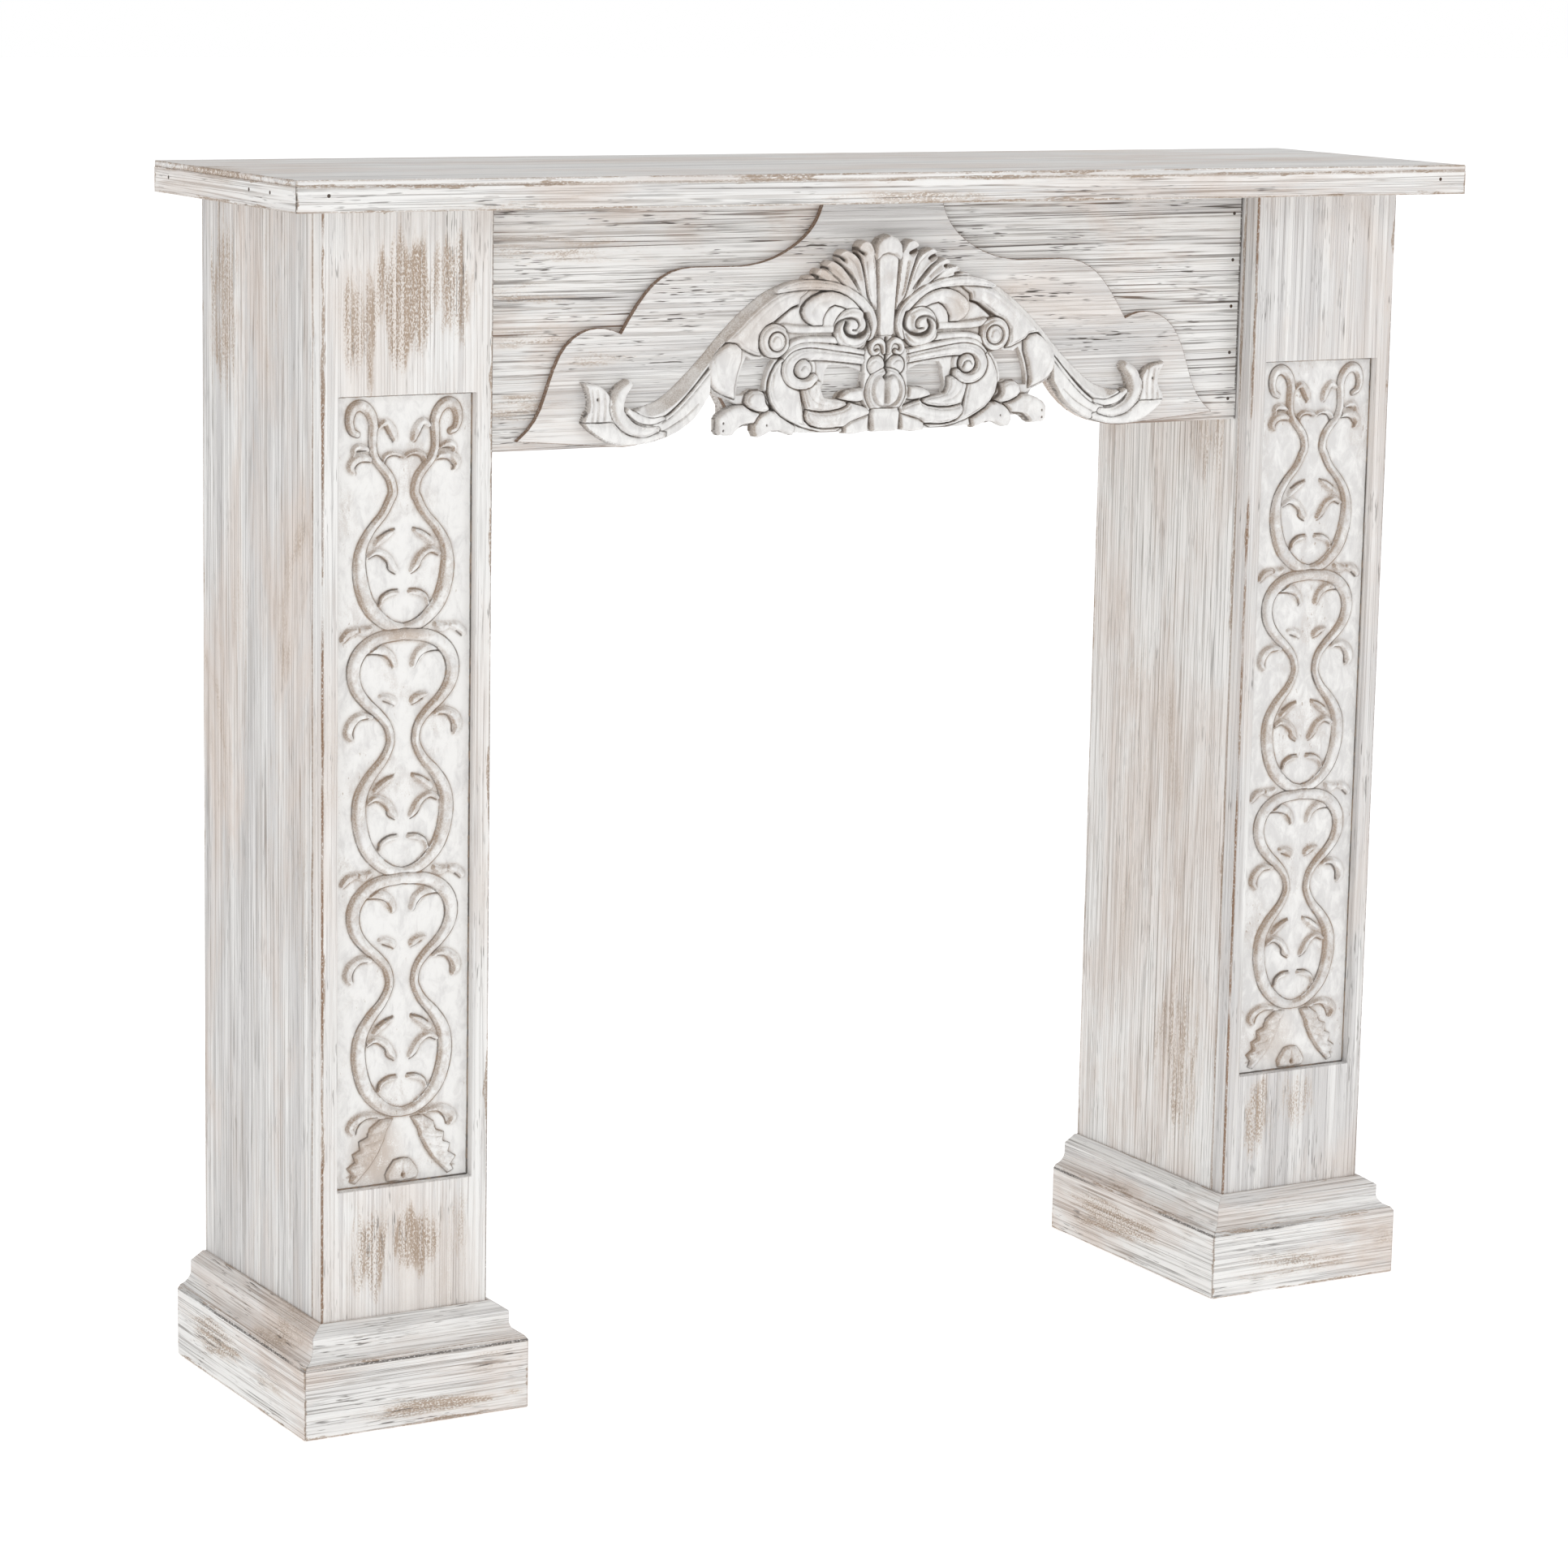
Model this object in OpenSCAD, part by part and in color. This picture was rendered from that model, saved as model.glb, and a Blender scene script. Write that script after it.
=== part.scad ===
// Decorative fireplace surround: a shelf on two hollow panelled legs, joined by a carved frieze.
// The origin is on the floor, under the middle of the whole. X runs along the shelf, the back is at +Y.

/* [Overall] */
// Height from the floor to the top of the shelf
overall_h = 1000; // [960:5:1100]
// Length of the shelf
overall_w = 1108; // [1100:1:1180]
// Depth of the shelf
overall_d = 278; // [270:1:300]

/* [Shelf] */
// Thickness of the whole shelf
shelf_t = 25; // [23:1:32]
// Thickness of the sheet that covers the shelf
top_sheet_t = 5; // [4:1:8]
// Thickness of the sheet that closes the shelf from below
soffit_t = 6; // [4:1:8]
// Depth of the strips that edge the shelf
strip_d = 18; // [15:1:22]
// Number of cross battens inside the shelf
rib_count = 4; // [2:1:6]

/* [Legs] */
// Distance over the outer faces of the two legs
legs_span = 1026; // [1020:1:1060]
// Width of one leg
leg_w = 147; // [145:1:160]
// Depth of one leg
leg_d = 235; // [230:1:250]
// Thickness of a leg's front board
front_t = 18; // [15:1:22]
// Thickness of a leg's side boards
side_t = 15; // [12:1:18]

/* [Carved leg panels] */
// Height of the panel's lower edge above the floor
panel_bottom = 193; // [180:1:200]
// Height of the carved panel
panel_h = 637; // [630:1:640]
// Width of the carved panel
panel_w = 119; // [117:1:120]
// Depth of the panel's ground below the front board's face
panel_recess = 8; // [6:1:8]
// Height of the carving above the panel's ground
carving_h = 6; // [3:1:6]

/* [Base] */
// Height of the plinth boards
plinth_h = 60; // [50:1:70]
// Thickness of the plinth boards
plinth_t = 26; // [24:1:30]
// Height of the moulding on the plinth
mould_h = 27; // [24:1:30]
// How far the moulding's lip stands out from the leg
lip_out = 14; // [12:1:16]

/* [Frieze] */
// Height of the frieze board
frieze_h = 196; // [190:1:210]
// Depth of the frieze below the legs' front faces
frieze_recess = 23; // [22:1:30]
// Thickness of the frieze board
frieze_t = 12; // [9:1:18]
// Thickness of the shaped board on the frieze
apron_t = 6; // [4:1:6]
// Thickness of the scrolls on the shaped board
scroll_t = 10; // [8:1:10]
// Thickness of the ground of the central carving
onlay_t = 7; // [5:1:8]

/* [Fixings] */
// Side of the square cleats
cleat = 20; // [18:1:24]
// Diameter of the wood screws
screw_d = 4; // [3:0.5:5]
// Diameter of the frieze nails
nail_d = 2; // [1.5:0.5:3]
// Number of nails at each end of the frieze
nail_count = 5; // [3:1:7]

/* [Hidden] */

whitewash = [0.89, 0.88, 0.85];
carved_white = [0.91, 0.90, 0.87];
bare_pine = [0.80, 0.66, 0.48];
hardboard = [0.55, 0.42, 0.30];
steel = [0.45, 0.44, 0.42];

back_y = overall_d / 2;
front_y = back_y - leg_d;
shelf_bottom = overall_h - shelf_t;
sheet_bottom = overall_h - top_sheet_t;
outer_x = legs_span / 2;
inner_x = outer_x - leg_w;
leg_x = outer_x - leg_w / 2;
inside_w = leg_w - 2 * side_t;
ground_y = front_y + panel_recess;
board_back_y = front_y + front_t;
backing_t = 3;
backing_lap = 12;
wall_rail_t = 18;
wall_rail_h = 90;
batten_d = 60;
rib_w = 30;
frieze_y = front_y + frieze_recess;
frieze_back_y = frieze_y + frieze_t;
frieze_bottom = shelf_bottom - frieze_h;
frieze_half = inner_x - 1;
apron_y = frieze_y - apron_t;
front_batten_d = frieze_back_y + cleat + back_y - strip_d;
cleat_ys = [board_back_y + cleat / 2, back_y - wall_rail_t - cleat / 2];
batten_half = overall_w / 2 - strip_d;
screw_l = 30;
screw_head_d = 2 * screw_d;
screw_head_h = 2.5;
slot_w = 1;
nail_l = 24;
nail_inset = 9;
nail_end_gap = 18;
leg_screw_gap = 60;
frieze_screw_xs = [-260, -87, 87, 260];
bead_w = 6;
// Room left round a cut so that it passes clean through
clear = 1;

// ---- curves -------------------------------------------------------------------------------------

function bezier(a, b, c, d, n = 8) = [
    for (i = [0 : n - 1])
        let (t = i / n, s = 1 - t)
            s * s * s * a + 3 * s * s * t * b + 3 * s * t * t * c + t * t * t * d
];
function flip(points) = [for (i = [len(points) - 1 : -1 : 0]) [-points[i][0], points[i][1]]];
function both(points) = concat(points, flip(points));
function along(p, i) =
    let (v = p[min(i + 1, len(p) - 1)] - p[max(i - 1, 0)])
        v / norm(v);
function ribbon(p, w) = concat(
    [for (i = [0 : len(p) - 1]) let (v = along(p, i)) p[i] + w / 2 * [-v[1], v[0]]],
    [for (i = [len(p) - 1 : -1 : 0]) let (v = along(p, i)) p[i] - w / 2 * [-v[1], v[0]]]
);

// Half of the shaped board's outline, from the shelf outwards and back under the arch, measured
// from the middle of the frieze's lower edge.
apron_top = concat(
    bezier([57, frieze_h], [60, 181], [68, 168], [86, 157.5]),
    bezier([86, 157.5], [102, 148], [118, 143.5], [142, 143]),
    bezier([178, 143.5], [208, 143], [222, 126], [243, 91.5]),
    bezier([243, 91.5], [262, 101], [284, 98], [298, 76]),
    bezier([298, 76], [316, 43], [308, 21], [350, 0])
);
arch = concat(bezier([240, 0], [205, 2], [184, 18], [168, 43]), [[168, 43], [152, 39], [146, 29], [146, 13]]);

// Half of the scroll: its long outer edge, the leafy volute, the lower edge and the crest.
scroll_outline = concat(
    bezier([72, 132], [112, 131], [140, 103], [163, 79]),
    bezier([163, 79], [186, 56], [202, 36], [226, 32]),
    bezier([226, 32], [236, 31], [240, 36], [236, 44], 4),
    bezier([236, 44], [229, 56], [236, 57], [246, 56], 5),
    bezier([246, 56], [256, 55], [260, 48], [262, 46], 3),
    bezier([262, 46], [268, 52], [274, 53], [279, 53], 3),
    bezier([279, 53], [272, 44], [275, 30], [279, 22], 4),
    bezier([279, 22], [270, 6], [252, 1], [240, 1.5]),
    bezier([240, 1.5], [205, 2], [184, 18], [167, 43]),
    bezier([164, 68], [146, 88], [120, 118], [75, 124])
);

// Half of the central carving's ground, without its windows.
onlay_outline = concat(
    [[0, 168], [60, 143], [75, 124]],
    [for (p = bezier([75, 124], [120, 118], [146, 88], [164, 68])) p - [0.5, 0.5]],
    [[163, 67], [165, 43], [157, 38], [143, 34], [132, 34], [150, 28]],
    bezier([150, 28], [162, 25], [160, 6], [152, 5], 4),
    [[140, 8], [118, 3], [100, 7], [60, 3], [24, 3], [12, 5]]
);
side_window = [[136, 71], [139, 56], [142, 39], [130, 42], [116, 42], [112, 58], [107, 64], [112, 68]];
eye_window = [[23, 53], [32, 57], [44, 60], [57, 60], [60, 40], [55, 33], [46, 34], [28, 41]];

// ---- shared shapes ------------------------------------------------------------------------------

module box_between(low, high) {
    translate(low) cube(high - low);
}

// Stands a flat drawing up, t thick, with its back face at y.
module upright(y, t) {
    translate([0, y, 0]) rotate([90, 0, 0]) linear_extrude(t) children();
}

module on_side(side) {
    if (side < 0) mirror([1, 0, 0]) children();
    else children();
}

// ---- shelf --------------------------------------------------------------------------------------

module shelf_top() {
    color(whitewash)
        box_between([-overall_w / 2, -back_y, sheet_bottom], [overall_w / 2, back_y, overall_h]);
}

module shelf_soffit() {
    color(whitewash) difference() {
        box_between([-batten_half, strip_d - back_y, shelf_bottom],
                    [batten_half, back_y, shelf_bottom + soffit_t]);
        screw_holes();
    }
}

module shelf_front_strip() {
    plan = [[-overall_w / 2, -back_y], [overall_w / 2, -back_y],
            [batten_half, strip_d - back_y], [-batten_half, strip_d - back_y]];
    color(whitewash) difference() {
        translate([0, 0, shelf_bottom]) linear_extrude(sheet_bottom - shelf_bottom) polygon(plan);
        at_shelf_nails() nail();
    }
}

module shelf_side_strip(side) {
    plan = [[overall_w / 2, -back_y], [overall_w / 2, back_y], [batten_half, back_y],
            [batten_half, strip_d - back_y]];
    color(whitewash) difference() {
        on_side(side)
            translate([0, 0, shelf_bottom]) linear_extrude(sheet_bottom - shelf_bottom) polygon(plan);
        at_shelf_nails() nail();
    }
}

module shelf_back_batten() {
    color(bare_pine) difference() {
        box_between([-batten_half, back_y - batten_d, shelf_bottom + soffit_t],
                    [batten_half, back_y, sheet_bottom]);
        screw_holes();
        at_shelf_nails() nail();
    }
}

module shelf_front_batten() {
    color(bare_pine) difference() {
        box_between([-batten_half, strip_d - back_y, shelf_bottom + soffit_t],
                    [batten_half, strip_d - back_y + front_batten_d, sheet_bottom]);
        screw_holes();
        at_shelf_nails() nail();
    }
}

module shelf_ribs() {
    pitch = overall_w / (rib_count + 1);
    color(bare_pine)
        for (i = [1 : rib_count])
            translate([i * pitch - overall_w / 2, 0, 0])
                box_between([-rib_w / 2, strip_d - back_y + front_batten_d, shelf_bottom + soffit_t],
                            [rib_w / 2, back_y - batten_d, sheet_bottom]);
}

// ---- legs ---------------------------------------------------------------------------------------

module front_board(side) {
    color(whitewash) on_side(side) difference() {
        box_between([inner_x, front_y, 0], [outer_x, board_back_y, shelf_bottom]);
        translate([leg_x, 0, panel_bottom])
            box_between([-panel_w / 2, front_y - clear, 0], [panel_w / 2, board_back_y + clear, panel_h]);
    }
}

module outer_side(side) {
    color(whitewash) on_side(side)
        box_between([outer_x - side_t, board_back_y, 0], [outer_x, back_y, shelf_bottom]);
}

module inner_side(side) {
    color(whitewash) on_side(side)
        box_between([inner_x, board_back_y, 0], [inner_x + side_t, back_y, shelf_bottom]);
}

module panel_backing(side) {
    color(hardboard) on_side(side) translate([leg_x, 0, panel_bottom])
        box_between([-inside_w / 2, board_back_y, -backing_lap],
                    [inside_w / 2, board_back_y + backing_t, panel_h + backing_lap]);
}

// The leg carving is drawn for the right half and mirrored, measured from a lyre's foot. A lyre has a
// round belly, a narrow neck and a round shoulder.
lyre_pitch = 196;
lyre_foot = 55;
belly = concat(
    bezier([4, 4], [22, 6], [42, 24], [42, 52], 6),
    bezier([42, 52], [42, 84], [12, 88], [12, 108], 6)
);
lyre = concat(
    belly,
    bezier([12, 108], [12, 136], [44, 132], [44, 166], 6),
    bezier([44, 166], [44, 186], [24, 194], [4, 196], 6)
);
crown = concat(
    belly,
    bezier([12, 108], [12, 126], [24, 130], [24, 150], 4),
    bezier([24, 150], [24, 178], [46, 178], [46, 160], 4),
    [[46, 160]]
);
inner_arch = bezier([22, 26], [20, 50], [8, 50], [2, 40], 5);
tail_leaf = [[0, 0], [44, -54], [34, -54], [2, -24], [0, -20]];
foot_leaf = [[0, 3], [14, 3], [0, 22]];
berry_d = 8;
berry_pitch = 7;

module leg_carving() {
    mirrored_half() {
        polygon(foot_leaf);
        translate([0, lyre_foot]) polygon(tail_leaf);
        for (i = [0 : 2])
            translate([0, lyre_foot + i * lyre_pitch]) {
                polygon(ribbon(i == 2 ? crown : lyre, bead_w));
                polygon(ribbon(inner_arch, bead_w));
                if (i > 0)
                    for (k = [0 : 2])
                        translate([34 + berry_pitch * k, -2]) circle(d = berry_d, $fn = 24);
            }
    }
}

module mirrored_half() {
    children();
    mirror([1, 0]) children();
}

module carved_panel(side) {
    edge = 2;
    root = 0.5;
    color(carved_white) on_side(side) translate([leg_x, 0, panel_bottom]) {
        box_between([-panel_w / 2, ground_y, 0], [panel_w / 2, board_back_y, panel_h]);
        upright(ground_y + root, carving_h + root) intersection() {
            leg_carving();
            translate([-panel_w / 2 + edge, edge]) square([panel_w - 2 * edge, panel_h - 2 * edge]);
        }
    }
}

module top_cleats(side) {
    color(bare_pine) difference() {
        on_side(side) for (y = cleat_ys)
            translate([leg_x, y, shelf_bottom - cleat])
                box_between([-inside_w / 2, -cleat / 2, 0], [inside_w / 2, cleat / 2, cleat]);
        screw_holes();
        screw_heads();
    }
}

module foot_cleats(side) {
    color(bare_pine) on_side(side) for (y = [cleat_ys[0], back_y - cleat / 2])
        translate([leg_x, y, 0])
            box_between([-inside_w / 2, -cleat / 2, 0], [inside_w / 2, cleat / 2, plinth_h]);
}

module wall_rail(side) {
    color(bare_pine) on_side(side) translate([leg_x, 0, 0])
        box_between([-inside_w / 2, back_y - wall_rail_t, shelf_bottom - wall_rail_h],
                    [inside_w / 2, back_y, shelf_bottom]);
}

// ---- base ---------------------------------------------------------------------------------------

plinth_profile = [[0, 0], [plinth_t, 0], [plinth_t, plinth_h - 3], [plinth_t - 2, plinth_h], [0, plinth_h]];
cove_h = 10;
lip_h = mould_h - cove_h - 7;
mould_profile = concat(
    [[0, 0]],
    bezier([plinth_t - 2, 0], [plinth_t - 6, 1], [lip_out + 1, 4], [lip_out, cove_h], 5),
    [[lip_out, cove_h], [lip_out, cove_h + lip_h], [3, mould_h], [0, mould_h]]
);

// Plans of the three mitred runs round a leg, for the leg at +X.
front_plan = [[inner_x - plinth_t, front_y - plinth_t], [outer_x + plinth_t, front_y - plinth_t],
              [outer_x, front_y], [inner_x, front_y]];
outer_plan = [[outer_x, front_y], [outer_x + plinth_t, front_y - plinth_t], [outer_x + plinth_t, back_y],
              [outer_x, back_y]];
inner_plan = [[inner_x, front_y], [inner_x, back_y], [inner_x - plinth_t, back_y],
              [inner_x - plinth_t, front_y - plinth_t]];

// A profile drawn outwards from the leg's face, run along that face and cut to its mitred plan.
module front_run(profile, z, h) {
    intersection() {
        translate([inner_x - plinth_t, front_y, z])
            rotate([90, 0, 90]) mirror([1, 0, 0]) linear_extrude(leg_w + 2 * plinth_t) polygon(profile);
        translate([0, 0, z - clear]) linear_extrude(h + 2 * clear) polygon(front_plan);
    }
}

module outer_run(profile, z, h) {
    intersection() {
        translate([outer_x, back_y, z])
            rotate([90, 0, 0]) linear_extrude(leg_d + plinth_t) polygon(profile);
        translate([0, 0, z - clear]) linear_extrude(h + 2 * clear) polygon(outer_plan);
    }
}

module inner_run(profile, z, h) {
    intersection() {
        translate([inner_x, back_y, z])
            mirror([1, 0, 0]) rotate([90, 0, 0]) linear_extrude(leg_d + plinth_t) polygon(profile);
        translate([0, 0, z - clear]) linear_extrude(h + 2 * clear) polygon(inner_plan);
    }
}

module front_plinth(side) {
    color(whitewash) on_side(side) front_run(plinth_profile, 0, plinth_h);
}

module outer_plinth(side) {
    color(whitewash) on_side(side) outer_run(plinth_profile, 0, plinth_h);
}

module inner_plinth(side) {
    color(whitewash) on_side(side) inner_run(plinth_profile, 0, plinth_h);
}

module front_moulding(side) {
    color(whitewash) on_side(side) front_run(mould_profile, plinth_h, mould_h);
}

module outer_moulding(side) {
    color(whitewash) on_side(side) outer_run(mould_profile, plinth_h, mould_h);
}

module inner_moulding(side) {
    color(whitewash) on_side(side) inner_run(mould_profile, plinth_h, mould_h);
}

// ---- frieze -------------------------------------------------------------------------------------

module frieze_board() {
    color(whitewash) difference() {
        translate([0, 0, frieze_bottom]) upright(frieze_back_y, frieze_t)
            polygon(both(concat([[frieze_half, frieze_h], [frieze_half, 0]], arch)));
        at_frieze_nails() nail();
    }
}

module frieze_apron() {
    color(whitewash) translate([0, 0, frieze_bottom]) upright(frieze_y, apron_t)
        polygon(both(concat(apron_top, arch)));
}

module scroll(side) {
    color(carved_white) on_side(side) translate([0, 0, frieze_bottom]) upright(apron_y, scroll_t)
        polygon(scroll_outline);
}

// A flute of the shell: a wedge from the root to a round tip.
module flute(tip, r) {
    root = [0, 92];
    v = (tip - root) / norm(tip - root);
    n = [-v[1], v[0]];
    translate(tip) circle(r, $fn = 32);
    polygon([root + 2 * n, root - 2 * n, tip - r * n, tip + r * n]);
}

module shell() {
    flute([0, 157], 10.5);
    mirrored_half() {
        flute([24, 153], 9);
        flute([41, 147], 8);
        flute([55, 140], 7);
        flute([67, 133], 6);
    }
}

// A volute: a round boss with a ring round it.
module volute(at, r) {
    ring_w = r / 3;
    translate(at) {
        circle(r / 2.6, $fn = 32);
        difference() {
            circle(r, $fn = 40);
            circle(r - ring_w, $fn = 40);
        }
    }
}

module crescent() {
    difference() {
        translate([76, 44]) circle(42, $fn = 48);
        translate([66, 50]) circle(36, $fn = 48);
        translate([-200, 70]) square([400, 100]);
        translate([-160, -40]) square([200, 100]);
    }
}

module central_carving() {
    y = apron_y - onlay_t;
    relief = 6;
    color(carved_white) translate([0, 0, frieze_bottom]) {
        upright(apron_y, onlay_t) difference() {
            polygon(both(onlay_outline));
            mirrored_half() polygon(side_window);
            mirrored_half() polygon(eye_window);
        }
        upright(apron_y, onlay_t + relief) shell();
        upright(y + 0.5, relief + 0.5) mirrored_half() {
            volute([34, 89], 17);
            volute([106, 82], 14);
            volute([78, 59], 17);
            crescent();
            translate([9, 61]) circle(8, $fn = 32);
        }
        upright(y + 0.5, relief + 0.5) {
            translate([0, 40]) circle(18, $fn = 40);
            polygon([[-12, 5], [12, 5], [6, 24], [-6, 24]]);
        }
    }
}

module frieze_top_cleat() {
    color(bare_pine) difference() {
        box_between([cleat - inner_x, frieze_back_y, shelf_bottom - cleat],
                    [inner_x - cleat, frieze_back_y + cleat, shelf_bottom]);
        screw_holes();
        screw_heads();
    }
}

module frieze_cleat(side) {
    foot_gap = 3;
    color(bare_pine) difference() {
        on_side(side)
            box_between([inner_x - cleat, frieze_back_y, frieze_bottom + foot_gap],
                        [inner_x, frieze_back_y + cleat, shelf_bottom]);
        at_frieze_nails() nail();
    }
}

// ---- fixings ------------------------------------------------------------------------------------

// A brad with a small flat head, its head at the origin and its shank towards +Y.
module nail() {
    rotate([-90, 0, 0]) {
        cylinder(h = 1, d = nail_d * 1.5, $fn = 24);
        cylinder(h = nail_l, d = nail_d, $fn = 24);
    }
}

module at_frieze_nails() {
    pitch = (frieze_h - 2 * nail_end_gap) / (nail_count - 1);
    for (side = [-1, 1], i = [0 : nail_count - 1])
        translate([side * (inner_x - nail_inset), frieze_y, frieze_bottom + nail_end_gap + i * pitch])
            children();
}

// Brads through the shelf's front strip near its ends, and three through each side strip.
module at_shelf_nails() {
    nail_z = (shelf_bottom + soffit_t + sheet_bottom) / 2;
    for (side = [-1, 1]) {
        translate([side * (batten_half - nail_inset), -back_y, nail_z]) children();
        for (y = [-90, -50, 110])
            translate([side * overall_w / 2, y, nail_z]) rotate([0, 0, side * 90]) children();
    }
}

module frieze_nails() {
    color(steel) at_frieze_nails() nail();
}

module shelf_nails() {
    color(steel) at_shelf_nails() nail();
}

// Places of the screws that come up into the shelf: two through each leg cleat, and a row along the
// frieze's cleat.
screw_spots = concat(
    [for (side = [-1, 1], dx = [-leg_screw_gap / 2, leg_screw_gap / 2], y = cleat_ys) [side * leg_x + dx, y]],
    [for (x = frieze_screw_xs) [x, frieze_back_y + cleat / 2]]
);

module at_screws() {
    for (p = screw_spots)
        translate([p[0], p[1], shelf_bottom - cleat]) children();
}

module screw_holes() {
    at_screws() translate([0, 0, -clear]) cylinder(h = screw_l + clear, d = screw_d, $fn = 24);
}

module screw_heads() {
    at_screws() translate([0, 0, -clear]) cylinder(h = screw_head_h + clear, d = screw_head_d, $fn = 32);
}

module shelf_screws() {
    slot_l = screw_head_d * 0.75;
    color(steel) at_screws() difference() {
        union() {
            cylinder(h = screw_head_h, d = screw_head_d, $fn = 32);
            cylinder(h = screw_l, d = screw_d, $fn = 24);
        }
        for (a = [0, 90])
            rotate([0, 0, a]) translate([-slot_l / 2, -slot_w / 2, -clear]) cube([slot_l, slot_w, clear + 1]);
    }
}

// ---- the whole ----------------------------------------------------------------------------------

shelf_top();
shelf_soffit();
shelf_front_strip();
shelf_side_strip(-1);  // shelf_left_strip
shelf_side_strip(1);  // shelf_right_strip
shelf_back_batten();
shelf_front_batten();
shelf_ribs();
front_board(-1);  // left_front_board
outer_side(-1);  // left_outer_side
inner_side(-1);  // left_inner_side
carved_panel(-1);  // left_carved_panel
panel_backing(-1);  // left_panel_backing
top_cleats(-1);  // left_top_cleats
foot_cleats(-1);  // left_foot_cleats
wall_rail(-1);  // left_wall_rail
front_board(1);  // right_front_board
outer_side(1);  // right_outer_side
inner_side(1);  // right_inner_side
carved_panel(1);  // right_carved_panel
panel_backing(1);  // right_panel_backing
top_cleats(1);  // right_top_cleats
foot_cleats(1);  // right_foot_cleats
wall_rail(1);  // right_wall_rail
front_plinth(-1);  // left_front_plinth
outer_plinth(-1);  // left_outer_plinth
inner_plinth(-1);  // left_inner_plinth
front_moulding(-1);  // left_front_moulding
outer_moulding(-1);  // left_outer_moulding
inner_moulding(-1);  // left_inner_moulding
front_plinth(1);  // right_front_plinth
outer_plinth(1);  // right_outer_plinth
inner_plinth(1);  // right_inner_plinth
front_moulding(1);  // right_front_moulding
outer_moulding(1);  // right_outer_moulding
inner_moulding(1);  // right_inner_moulding
frieze_board();
frieze_apron();
scroll(-1);  // left_scroll
scroll(1);  // right_scroll
central_carving();
frieze_top_cleat();
frieze_cleat(-1);  // left_frieze_cleat
frieze_cleat(1);  // right_frieze_cleat
frieze_nails();
shelf_nails();
shelf_screws();
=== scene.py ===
"""Whitewashed fireplace surround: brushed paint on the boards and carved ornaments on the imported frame.

Outlines, heights, spots and edge widths are in millimetres; places in the scene are in metres."""

import math

import bmesh
import bpy
import numpy as np
from mathutils import Matrix, Vector


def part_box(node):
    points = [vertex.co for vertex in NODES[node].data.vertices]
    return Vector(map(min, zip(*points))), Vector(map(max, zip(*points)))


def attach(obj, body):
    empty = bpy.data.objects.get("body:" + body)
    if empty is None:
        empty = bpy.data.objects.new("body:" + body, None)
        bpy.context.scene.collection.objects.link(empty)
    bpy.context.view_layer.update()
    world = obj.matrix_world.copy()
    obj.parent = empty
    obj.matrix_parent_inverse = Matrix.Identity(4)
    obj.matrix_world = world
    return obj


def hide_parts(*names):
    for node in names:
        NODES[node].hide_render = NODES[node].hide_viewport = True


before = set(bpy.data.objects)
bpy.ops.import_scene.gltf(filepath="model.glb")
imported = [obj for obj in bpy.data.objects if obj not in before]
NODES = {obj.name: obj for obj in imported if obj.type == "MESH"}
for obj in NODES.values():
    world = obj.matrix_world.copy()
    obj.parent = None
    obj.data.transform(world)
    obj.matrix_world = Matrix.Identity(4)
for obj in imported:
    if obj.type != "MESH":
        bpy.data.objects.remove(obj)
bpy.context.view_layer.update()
SIDES = (("left", -1), ("right", 1))
MM = 0.001
FAR = 1000.0
FORWARD = (0, -1, 0)


# ---- curves ----


def smooth(points, steps=6):
    """A curve through the points, with `steps` short lines between neighbours."""
    p = np.array(points, float)
    q = np.vstack([2 * p[0] - p[1], p, 2 * p[-1] - p[-2]])
    t = (np.arange(steps) / steps)[:, None]
    lines = [
        0.5 * (2 * b + (c - a) * t + (2 * a - 5 * b + 4 * c - d) * t**2 + (3 * b - a - 3 * c + d) * t**3)
        for a, b, c, d in zip(q, q[1:], q[2:], q[3:])
    ]
    return np.vstack([*lines, p[-1:]])


def nearest(path, x, z):
    """Each point's distance from the path, and how far along the path its nearest place lies (0 to 1)."""
    away, share = np.full(x.shape, FAR), np.zeros(x.shape)
    runs = np.diff(path, axis=0)
    lengths = np.maximum(np.hypot(*runs.T), 1e-9)
    starts = np.concatenate([[0], np.cumsum(lengths)])
    for (ax, az), (dx, dz), length, start in zip(path, runs, lengths, starts):
        t = np.clip(((x - ax) * dx + (z - az) * dz) / length**2, 0, 1)
        d = np.hypot(x - ax - t * dx, z - az - t * dz)
        closer = d < away
        away = np.where(closer, d, away)
        share = np.where(closer, (start + t * length) / starts[-1], share)
    return away, share


def depth_inside(outline, x, z):
    """How far each point lies inside a closed outline; outside it is negative."""
    loop = np.vstack([outline, outline[:1]])
    away, _ = nearest(loop, x, z)
    odd = np.zeros(x.shape, bool)
    for (ax, az), (bx, bz) in zip(loop, loop[1:]):
        if az != bz:
            crosses = ((az > z) != (bz > z)) & (x < (bx - ax) * (z - az) / (bz - az) + ax)
            odd ^= crosses
    return np.where(odd, away, -away)


# ---- reliefs ----


# In millimetres: the dark line outside a raised edge, and the fine line cut just inside one.
INK_WIDTH = 0.7
INK_OFFSET = 0.3
RIM_INSET = 2.1
RIM_WIDTH = 0.6
RIM_INK = 0.42
# A relief's outer edge: how wide and how deep it is eased.
EDGE_EASE = 1.0
EDGE_DROP = 1.2
SMOOTHING_CELLS = 0.55
# Heights that count as fully hollow (below the mean height around them) and as fully raised.
HOLLOW_REACH = 2.6
HOLLOW_DEPTH = 1.8
RAISED_HEIGHT = 2.5
SHARP_ANGLE = math.radians(50)


def rounded(t):
    return np.sqrt(np.clip(1 - t * t, 0, 1))


def soft(t):
    """Rounder at its edges than on its crest."""
    return np.sqrt(np.clip(1 - t**3, 0, 1))


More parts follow.
